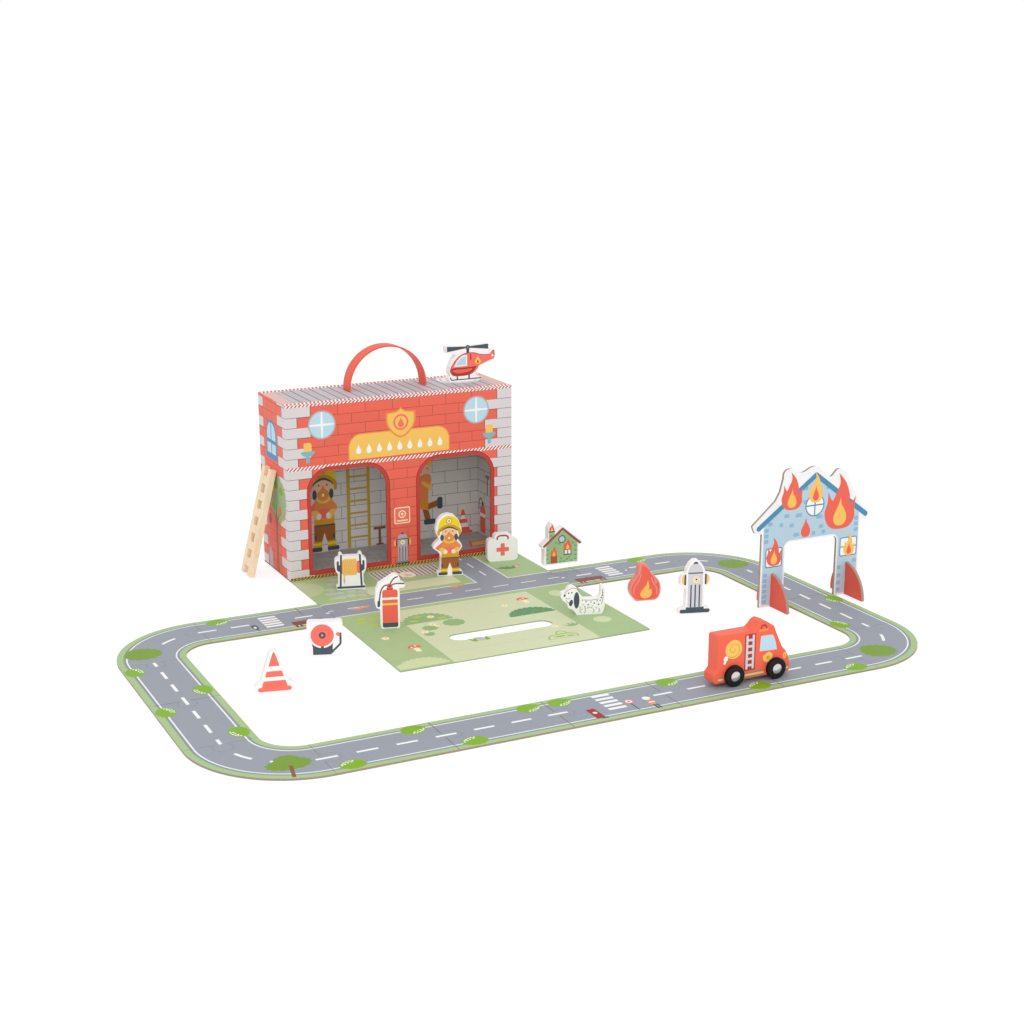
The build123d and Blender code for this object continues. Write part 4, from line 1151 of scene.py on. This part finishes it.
def draw_small_house(page):
    """A green house with flames at its door, window and chimney."""
    page.add("house_green", box(6.3, 26, 13.7, 43.2),
             [(2.4, 1.4), (45.2, 1.4), (45.2, 26.6), (24.7, 43.4), (2.4, 26)])
    patches = ((4, 8), (4, 14), (4, 20), (16, 28), (20, 26.6), (42, 5), (42.6, 10), (37, 3.4), (31, 5.4),
               (27, 3), (42.6, 16), (42.6, 22), (39, 26), (8.4, 38), (11, 34), (23, 7), (6, 3), (34, 8),
               (22, 3))
    page.add("patch_green", *(box(x - 1.5, y - 0.9, x + 1.5, y + 0.9, 0.3) for x, y in patches))
    rings(page, 23.8, 32.2, ("bark", 5.2, 30), ("sky", 3.7, 30))
    page.add("bark", box(5.5, 42.4, 14.4, 44.2, 0.4))
    page.add("brown", box(8.5, 1.4, 17.5, 12, (0, 0, 1, 1)))
    flame(page, 13, 10.2, 9.2, 14.8)
    page.add("bark", box(26.5, 10.7, 37, 18.3, 0.4))
    page.add("white", box(27.8, 12.4, 31.2, 17.2), box(32.4, 12.4, 35.8, 17.2))
    flame(page, 31.7, 17.4, 11.6, 15.3)
    flame(page, 9.9, 43.4, 7, 10.6)
    page.add("roof_brown", bar((-0.5, 25), (24.7, 45.8), 3), bar((24.7, 45.8), (48.8, 25.2), 3))


def draw_dog(page):
    """Ears, eyes, nose, outlines and spots of the dog."""
    page.add("slate", oval(-0.1, 17.5, 3.3, 9.8, steps=28),
             moved(oval(0, 0, 2.1, 3.9, steps=20), -6.5, 14.6, turn=-14))
    page.add("slate", oval(-9.3, 26.4, 0.9, steps=10), oval(-5.8, 26.9, 0.9, steps=10))
    page.add("slate", moved(oval(0, 0, 1.6, 1.2, steps=14), -14, 23.6, turn=60))
    lines = ([(-14.2, 25.2), (-11.8, 28.2), (-7.8, 31.2), (-3.6, 32.2), (0.6, 30.4), (3.4, 25.6)],
             [(-13.4, 21), (-10.4, 19.6), (-7.6, 20.4)], [(-12.4, 18), (-10.4, 15.6), (-8.6, 14)],
             [(4.6, 10), (4, 5), (5.6, 2)], [(9.6, 8.6), (10, 4), (8.6, 1.8)],
             [(19, 6.6), (20.4, 3.8), (18.6, 1.8)], [(25.6, 7), (27, 4), (24.6, 1.8)],
             [(29, 12), (30.4, 20), (29.4, 28)], [(8, 17.6), (16, 17), (25.4, 18)],
             [(11, 7.4), (15, 8.4), (18.6, 7.4)])
    page.add("slate", *(stroke(line, 0.5) for line in lines))
    spots = ((6.6, 17.4, 0.7), (10.8, 15.6, 0.8), (7.4, 12, 0.6), (13.4, 11.6, 0.9), (9.6, 9.4, 0.7),
             (16.6, 14.6, 0.7), (18, 9.8, 0.6), (20.4, 13.2, 0.9), (23.6, 16.2, 0.7), (25.4, 11.6, 0.9),
             (22.6, 7.6, 0.6), (27.2, 16.4, 0.8), (28.4, 19.6, 0.9), (29.6, 22.4, 0.9), (30.2, 25.6, 0.8),
             (29.8, 28.6, 0.7), (6.2, 6.2, 0.6), (26, 5.8, 0.5))
    page.add("slate", *(oval(x, y, r, steps=10) for x, y, r in spots))


def draw_flame_block(page):
    """A red flame with a yellow heart."""
    page.add("red", smooth([(2, 1.9), (11, 1.4), (21, 1.9), (25.6, 5), (27.4, 13.4), (26, 22), (26, 22),
                            (22.4, 19.6), (21, 26), (16.8, 32.6), (14.4, 37), (10, 41.4), (5.8, 43.4),
                            (5.8, 43.4), (5.4, 38), (3, 31.6), (-0.4, 26.6), (-3.4, 23), (-3.4, 23),
                            (-5, 19.6), (-6.6, 13.4), (-4, 5.4)]))
    page.add("pink", stroke([(24, 7), (24.6, 14), (20, 21), (17.6, 28)], 1.2),
             stroke([(-3.6, 9), (-3, 16), (2.4, 25), (5.4, 33)], 1.2))
    page.add("yellow", smooth([(11, 2.7), (16.4, 4.4), (18.5, 9.4), (17.6, 14.4), (17.6, 14.4), (15.2, 12.6),
                               (15.2, 18), (13.5, 25), (13.5, 25), (11.4, 18.4), (6.8, 13), (4.4, 8),
                               (6.4, 4)]))


def draw_hydrant(page):
    """A silver hydrant with yellow side caps."""
    page.add("slate", bar((-15.5, 3.3), (15.5, 3.3), 4.6), box(-10.6, 3.6, 10.6, 8.2, 1))
    page.add("silver", box(-8.7, 7.8, 8.7, 48.8), oval(0, 48.8, 8.7, 11.5, 0, 180, 28))
    page.add("slate", box(-8.9, 48, 8.9, 49.4, 0.6), oval(0, 59.6, 2.9, 2.5, 0, 180, 14))
    page.add("slate", *(box(x - 0.8, 7.8, x + 0.8, 35, 0.7) for x in (-5, 0, 5)))
    for s in (-1, 1):
        low, high = (90, 270) if s < 0 else (-90, 90)
        page.add("yellow", oval(s * 13, 41, 3.1, 6, low, high, 18))
        page.add("slate", bar((s * 12, 35.6), (s * 12, 46.4), 2.1))
    rings(page, 1, 41, ("cream", 4, 26), ("yellow", 3, 24), ("white", 2.1, 20), ("slate", 1.2, 14))


def draw_cone(page):
    """A cone of three coral bands on its foot."""
    page.add("coral", bar((-14.6, 3.4), (14.6, 3.4), 4.6))
    page.add("coral", [(-13.5, 4), (13.5, 4), (10.9, 12.2), (-10.9, 12.2)])
    page.add("coral", [(-9.4, 16.3), (9.4, 16.3), (7.6, 22.4), (-7.6, 22.4)])
    page.add("coral", smooth([(-5.6, 27.6), (-5.6, 27.6), (5.6, 27.6), (5.6, 27.6), (1.4, 40.6), (0, 42),
                              (-1.4, 40.6)]))


def draw_bell(page):
    """A round bell on its dark bracket, with its hammer."""
    page.add("slate", [(-13, 1.8), (6, 1.8), (8, 4), (8, 11.2), *oval(-2.8, 23.5, 14.2, None, -38, -142, 16),
                       (-13, 10)])
    page.add("slate", box(-4.4, 8, -1.4, 11.6))
    page.add("slate", stroke([(6, 3.4), (12, 9.4), (16, 13.6), (16.4, 17), (16.4, 26)], 2.2))
    page.add("coral", oval(14, 24.4, 2.2, steps=20))
    rings(page, -2.8, 23.5, ("coral", 12.3, 52), ("dark_red", 3.7, 26), ("slate", 3.1, 24),
          ("pewter", 1.3, 16))


def draw_helicopter(page):
    """A coral helicopter with its rotor, window and skids."""

    def lay(name, *outlines):
        page.add(name, *(moved(o, 0, 0, 1.05, 1.048) for o in outlines))

    lay("slate", bar((9.4, 1.9), (41, 1.9), 1.4), bar((0.6, 4.6), (2.4, 1.9), 1.4),
        bar((2.4, 1.9), (10, 1.9), 1.4))
    lay("slate", box(9, 2, 10.8, 7.6), box(24.6, 2, 26.6, 7.6))
    body = smooth([(0.4, 12.6), (4.4, 7.2), (12, 6.2), (24, 6.6), (32, 9.4), (37.4, 14.6), (40, 18),
                   (58.6, 24.6), (58.6, 24.6), (60, 28), (59.8, 34), (58, 35.4), (55.2, 33), (53.6, 30.6),
                   (42, 31.2), (33, 33.8), (23, 34.2), (14.6, 31.8), (7, 25.6), (1.8, 18)])
    lay("dark_red", body)
    lay("coral", moved(body, 30 - 30 * 0.965, 20 - 20 * 0.94, 0.965, 0.94))
    lay("dark_red", smooth([(1.6, 14.4), (6, 16.4), (20, 16.2), (36, 17), (36, 17), (31, 10.8), (24, 7.6),
                            (12, 7.2), (5, 8.4)]))
    lay("red", smooth([(3, 13.2), (8, 14.6), (20, 14.4), (30, 14.8), (27, 11.4), (20, 10), (10, 9.8)]))
    lay("white", smooth([(5.2, 17.8), (5.2, 17.8), (23.2, 18.2), (23.2, 18.2), (23, 31.6), (23, 31.6),
                         (17, 31), (10.4, 25.8)]))
    lay("sky", smooth([(7.6, 19.4), (7.6, 19.4), (21.6, 19.6), (21.6, 19.6), (21.4, 30), (21.4, 30),
                       (17, 29.2), (12, 25)]))
    lay("dark_red", box(27, 25, 28.8, 32.4, 0.7))
    lay("yellow", moved(DROP, 37.4, 19.4, 8, 10.6))
    lay("brown", moved(DROP, 37.4, 20.6, 2.8, 4.6))
    lay("cream", oval(57.4, 28.4, 1.5, steps=14))
    lay("slate", [(-3.4, 36.6), (-3.6, 43.2), (24, 41.8), (24, 40)],
        [(24, 40.2), (24, 42), (51.6, 43.4), (51.6, 37)])
    lay("slate", oval(24, 41, 3, 2.6, steps=24), box(22.2, 34, 26, 39.6, 0.6))
    lay("shade_grey", oval(24, 41, 1.5, 1.3, steps=16))


def truck_pages():
    """Hose, ladder, window, badge and stripes on both sides of the truck."""
    (rear, near, under), (_, far, _) = reach("truck_body")
    for side, y in (("near", near), ("far", far)):
        page = Print(f"truck_{side}_print", "truck", "truck_wood", (rear, y, under), X, Z, y == far)
        page.add("yellow", oval(23.7, 34.6, 10, steps=48))
        turns = []
        for n in range(20):
            radius, angle = 8.8 - 0.42 * n, 0.5 * n + 3.9
            turns.append((23.7 + radius * math.cos(angle), 34.6 + radius * math.sin(angle)))
        page.add("ochre", stroke(turns, 0.8, 2))
        page.add("white", moved([(-1.6, 4), (1.6, 4), (2.6, 0.6), (1.2, -1), (1.4, -4.4), (-1.2, -4.4),
                                 (-1.2, -1), (-2.8, 0.4)], 14.2, 24.6, turn=-18))
        page.add("dark_red", box(37, 9, 50, 48, 0.6))
        page.add("silver", box(38.4, 10.6, 41, 46.8, 0.5), box(46, 10.6, 48.6, 46.8, 0.5))
        page.add("silver", *(box(40.8, 13.4 + 6.7 * n, 46.2, 16 + 6.7 * n) for n in range(5)))
        page.add("sky", smooth([(55.2, 27.5), (55.2, 27.5), (76.3, 26.4), (76.3, 26.4), (74.6, 34),
                                (71.2, 42.2), (68, 43.3), (57.6, 43.7), (56.1, 42)]))
        page.add("yellow", smooth([(59.4, 21.8), (62.2, 23), (66.4, 25.4), (70.2, 23.2), (71.2, 20.6),
                                   (68.6, 15.4), (63.4, 14.8), (60.4, 17.2)]))
        page.add("ochre", oval(65.4, 19.6, 2, steps=16))
        page.add("yellow", oval(86.3, 18.5, 2.2, 3.4, steps=20))
        page.add("orange", oval(86.3, 18.5, 1.1, 2, steps=16))
        page.add("orange", box(53.7, 48.5, 65.1, 51.2, 0.8))
        page.add("dark_red", oval(59.3, 51, 4.2, 4.9, 0, 180, 18))
        page.add("red", oval(59.3, 51, 2.6, 3.1, 0, 180, 14))
        for x0, x1 in ((6, 12), (36, 61), (86.4, 91.6)):
            page.add("shade_grey", box(x0, 6, x1, 7.5, 0.3), box(x0, 1.5, x1, 3, 0.3))
            page.add("yellow", box(x0, 3.5, x1, 5.5))
        page.make()


def burning_house_pages():
    """Walls, roof bars, windows and flames on both faces of the burning house."""
    (_, near, under), (_, far, _) = reach("burning_house_panel")
    for side, y in (("front", near), ("back", far)):
        name = f"burning_house_{side}_print"
        page = Print(name, "burning_house", "house_board", (HOUSE_LEFT, y, under), X, Z, y == far)
        page.add("wall_blue", [(2.4, 2.4), (14.2, 2.4), (14.2, 21.8), (18.8, 21.8), (18.8, 2.4), (31, 2.4),
                               *oval(40, 67.5, 9, 9, 180, 90, 8), *oval(99.5, 67.5, 9, 9, 90, 0, 8),
                               (108.5, 2.4), (120.7, 2.4), (120.7, 21.8), (125.3, 21.8), (125.3, 2.4),
                               (137.2, 2.4), (137.2, 100), (72.8, 148), (2.4, 99)])
        patches = [(3.2, h, 6) for h in (4, 10.4, 16.8, 23.2, 29.6, 36, 76.6, 83.2, 89.8)]
        patches += [(130.6, h, 6) for h in (38, 76, 83, 90)] + [(109.4, h, 5) for h in (4.4, 13, 22, 32)]
        patches += [(30, 104, 7), (46, 103, 9), (56, 118, 5), (38, 92, 6), (44, 80, 8), (75, 98, 9),
                    (80, 86, 6), (56, 134, 6), (88, 132, 7), (70, 79, 5), (84, 79, 5), (24, 94, 5),
                    (8, 97, 6), (89, 108, 5)]
        page.add("patch_blue", *(box(u, h, u + w, h + 4.6, 0.8) for u, h, w in patches))
        sill, head, rim, half_bar = 47, 70.5, 1.3, 0.6
        for u0, u1 in ((5.9, 29.4), (111.4, 136.4)):
            u, h = (u0 + u1) / 2, (sill + head) / 2
            page.add("steel_blue", box(u0, sill, u1, head, 3))
            page.add("white", box(u0 + rim, sill + rim, u1 - rim, head - rim, 2))
            page.add("steel_blue", box(u0, h - half_bar, u1, h + half_bar),
                     box(u - half_bar, sill, u + half_bar, head))
        rings(page, 72.7, 114.8, ("steel_blue", 13.5, 44), ("white", 12, 44))
        page.add("steel_blue", box(60, 114, 85.4, 115.6), box(71.9, 102.2, 73.5, 127.4))
        for start, end in (((-4.8, 95.5), (72.8, 151)), ((72.8, 151), (146.8, 96))):
            page.add("steel_blue", bar(start, end, 6))
        flame(page, 39.9, 113, 29.5, 44.6)
        flame(page, 109.2, 82, 44.5, 67.5)
        flame(page, 73.4, 118, 20, 36.5, outer="yellow", inner="red")
        flame(page, 18, 48.7, 21, 34.3)
        flame(page, 125, 47.4, 16, 28.6, outer="yellow", inner="red")
        page.add("red", moved(DROP, 61, 78, 13, 23.7))
        page.make()


# Operators


class STATION_OT_print_case(bpy.types.Operator):
    """Prints the case: bricks, corner stones, windows, sign, roof planks and the garage's pictures"""

    bl_idname = "station.print_case"
    bl_label = "Print the Case"

    def execute(self, context):
        print_case(context.scene.station_inks, context.scene.station_sizes)
        station_pages()
        return {"FINISHED"}


class STATION_OT_colour_strap(bpy.types.Operator):
    """Colours the carrying strap, with a fine pressed grain"""

    bl_idname = "station.colour_strap"
    bl_label = "Colour the Strap"

    def execute(self, context):
        colour = tuple(context.scene.station_inks.strap)
        red = plain_finish("strap_red", colour, grain=2.4, roughness=0.46, bump=0.3, tint=0.08)
        dress(["handle_strap"], red)
        return {"FINISHED"}


class STATION_OT_print_mat(bpy.types.Operator):
    """Prints the play mat: lawns, roads, stones, bushes and flowers"""

    bl_idname = "station.print_mat"
    bl_label = "Print the Mat"

    def execute(self, context):
        print_mat(context.scene.station_inks, context.scene.station_sizes)
        mat_pages()
        return {"FINISHED"}


class STATION_OT_print_road(bpy.types.Operator):
    """Prints the road tiles: asphalt, lines, verges, crossings and bushes"""

    bl_idname = "station.print_road"
    bl_label = "Print the Road"

    def execute(self, context):
        print_road(context.scene.station_inks, context.scene.station_sizes)
        road_page()
        return {"FINISHED"}


class STATION_OT_paint_toys(bpy.types.Operator):
    """Paints and prints the cut-out toys"""

    bl_idname = "station.paint_toys"
    bl_label = "Paint the Toys"

    def execute(self, context):
        paint = tuple(context.scene.station_inks.toy_paint)
        white = plain_finish("toy_lacquer", paint, grain=0.5, roughness=0.42, bump=0.1, tint=0.04)
        pictures = {
            "hose_reel": draw_hose_reel,
            "fire_extinguisher": draw_extinguisher,
            "firefighter": firefighter_print,
            "first_aid_kit": draw_kit,
            "small_house": draw_small_house,
            "dog": draw_dog,
            "flame_block": draw_flame_block,
            "hydrant": draw_hydrant,
            "traffic_cone": draw_cone,
            "alarm_bell": draw_bell,
            "helicopter": draw_helicopter,
        }
        dress([name for name in pictures if name != "flame_block"], white)
        pink = plain_finish("flame_pink", linear("F28E84"), grain=0.5, roughness=0.42, bump=0.1)
        dress(["flame_block"], pink)
        for name, draw in pictures.items():
            toy_pages(name, draw)
        return {"FINISHED"}


class STATION_OT_grain_ladder(bpy.types.Operator):
    """Gives the ladder its bare pine"""

    bl_idname = "station.grain_ladder"
    bl_label = "Grain the Ladder"

    def execute(self, context):
        dress(["ladder"], wood_finish())
        return {"FINISHED"}


class STATION_OT_paint_truck(bpy.types.Operator):
    """Lacquers and prints the truck, and finishes its wheels, axles and hubcaps"""

    bl_idname = "station.paint_truck"
    bl_label = "Paint the Truck"

    def execute(self, context):
        paint = tuple(context.scene.station_inks.truck_paint)
        lacquer = plain_finish("truck_lacquer", paint, grain=0.5, roughness=0.36, bump=0.1)
        dress(["truck_body"], lacquer)
        wheels = [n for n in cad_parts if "_wheel_" in n]
        dress(wheels, wheel_finish())
        steel = plain_finish("steel", linear("D5D5D2"), grain=2, roughness=0.22, bump=0.05, metallic=1)
        dress(["front_axle", "rear_axle", "front_hubcaps", "rear_hubcaps"], steel)
        truck_pages()
        return {"FINISHED"}


class STATION_OT_print_burning_house(bpy.types.Operator):
    """Prints the burning house and its two feet"""

    bl_idname = "station.print_burning_house"
    bl_label = "Print the Burning House"

    def execute(self, context):
        feet = ["burning_house_foot_left", "burning_house_foot_right"]
        dress_boards("house_paper", ["burning_house_panel"], 1, linear("F8F8F8"))
        dress_boards("foot_paper", feet, 0, linear("E2604E"))
        burning_house_pages()
        return {"FINISHED"}


class STATION_OT_build_stage(bpy.types.Operator):
    """Sets up the pale floor, the soft lamp and the camera"""

    bl_idname = "station.build_stage"
    bl_label = "Build the Stage"

    def execute(self, context):
        stage = context.scene.station_stage
        half_floor, floor_drop = 60, 0.0004
        mesh = bpy.data.meshes.new("floor")
        corners = [(*corner, 0) for corner in box(-half_floor, -half_floor, half_floor, half_floor)]
        mesh.from_pydata(corners, [], [(0, 1, 2, 3)])
        floor = bpy.data.objects.new("floor", mesh)
        floor.location.z = -floor_drop
        context.scene.collection.objects.link(floor)
        finish = Finish("floor_white")
        self.white_floor(finish)
        mesh.materials.append(finish.material)
        self.light(context, stage)
        self.place_camera(context, stage)
        context.scene.view_settings.view_transform = "Standard"
        return {"FINISHED"}

    def white_floor(self, finish):
        """White to the camera and in shiny or clear surfaces, with faint shadows kept."""
        glow_strength, shadow_grey = 0.74, 0.36
        rays = finish.tree.nodes.new("ShaderNodeLightPath")
        seen = Wire(finish, rays.outputs["Is Camera Ray"]) | Wire(finish, rays.outputs["Is Glossy Ray"])
        seen = seen | Wire(finish, rays.outputs["Is Transmission Ray"])
        finish.put(finish.shader.inputs["Base Color"], linear("F2F1F0"))
        finish.put(finish.shader.inputs["Roughness"], 0.9)
        glow = finish.node("ShaderNodeEmission", values={"Color": (1, 1, 1), "Strength": glow_strength})
        matt = finish.node("ShaderNodeBsdfDiffuse", values={"Color": (shadow_grey,) * 3})
        body = Wire(finish, finish.shader.outputs[0])
        shown = finish.node("ShaderNodeAddShader", values=(matt, glow))
        both = finish.node("ShaderNodeMixShader", values=(seen, body, shown))
        output = finish.tree.nodes["Material Output"]
        finish.put(output.inputs["Surface"], both)

    def light(self, context, stage):
        """An even pale sky and one large soft lamp, low in front."""
        world = bpy.data.worlds.new("studio")
        world.use_nodes = True
        context.scene.world = world
        nodes, links = world.node_tree.nodes, world.node_tree.links
        backdrop = nodes["Background"]
        backdrop.inputs["Color"].default_value = (1, 1, 1, 1)
        rays = nodes.new("ShaderNodeLightPath")
        seen = rays.outputs["Is Camera Ray"]
        for kind in ("Is Glossy Ray", "Is Transmission Ray"):
            either = nodes.new("ShaderNodeMath")
            either.operation = "MAXIMUM"
            links.new(seen, either.inputs[0])
            links.new(rays.outputs[kind], either.inputs[1])
            seen = either.outputs[0]
        strength = nodes.new("ShaderNodeMix")
        strength.inputs[2].default_value = stage.sky_strength
        strength.inputs[3].default_value = 1
        links.new(seen, strength.inputs[0])
        links.new(strength.outputs[0], backdrop.inputs["Strength"])
        lamp = bpy.data.lights.new("key", "AREA")
        lamp.shape = "DISK"
        lamp.size = stage.key_size
        lamp.energy = stage.key_power
        key = bpy.data.objects.new("key", lamp)
        spot, aim = Vector(stage.key_place), Vector((0, -0.3, 0))
        key.location = spot
        key.rotation_euler = (aim - spot).to_track_quat("-Z", "Y").to_euler()
        context.scene.collection.objects.link(key)

    def place_camera(self, context, stage):
        """The camera at the photo's angle."""
        turn, tilt = stage.heading, stage.tilt
        forward = Vector((math.sin(turn) * math.cos(tilt), math.cos(turn) * math.cos(tilt), -math.sin(tilt)))
        right = Vector((math.cos(turn), -math.sin(turn), 0))
        upward = right.cross(forward)
        lens = bpy.data.cameras.new("camera")
        lens.sensor_width = 36
        lens.lens = stage.focal_length / MM
        lens.clip_end = 200
        camera = bpy.data.objects.new("camera", lens)
        facing = Matrix((right, upward, -forward)).transposed().to_4x4()
        camera.matrix_world = Matrix.Translation(stage.camera_place) @ facing
        context.scene.collection.objects.link(camera)
        context.scene.camera = camera


class STATION_PT_looks(bpy.types.Panel):
    """Lists the steps that dress the play set"""

    bl_idname = "STATION_PT_looks"
    bl_label = "Fire Station"
    bl_space_type = "VIEW_3D"
    bl_region_type = "UI"
    bl_category = "Fire Station"

    def draw(self, context):
        for step in STEPS:
            self.layout.operator(step.bl_idname)
        for group in ("station_inks", "station_sizes", "station_stage"):
            settings = getattr(context.scene, group)
            for name in settings.__annotations__:
                self.layout.prop(settings, name)


STEPS = (
    STATION_OT_print_case,
    STATION_OT_colour_strap,
    STATION_OT_print_mat,
    STATION_OT_print_road,
    STATION_OT_paint_toys,
    STATION_OT_grain_ladder,
    STATION_OT_paint_truck,
    STATION_OT_print_burning_house,
    STATION_OT_build_stage,
)
CLASSES = (StationInks, StationSizes, StationStage, *STEPS, STATION_PT_looks)


def register():
    for cls in CLASSES:
        bpy.utils.register_class(cls)
    bpy.types.Scene.station_inks = bpy.props.PointerProperty(type=StationInks)
    bpy.types.Scene.station_sizes = bpy.props.PointerProperty(type=StationSizes)
    bpy.types.Scene.station_stage = bpy.props.PointerProperty(type=StationStage)


def unregister():
    del bpy.types.Scene.station_stage
    del bpy.types.Scene.station_sizes
    del bpy.types.Scene.station_inks
    for cls in reversed(CLASSES):
        bpy.utils.unregister_class(cls)


def main():
    register()
    for step in STEPS:
        group, name = step.bl_idname.split(".")
        getattr(getattr(bpy.ops, group), name)()


if __name__ == "__main__":
    main()
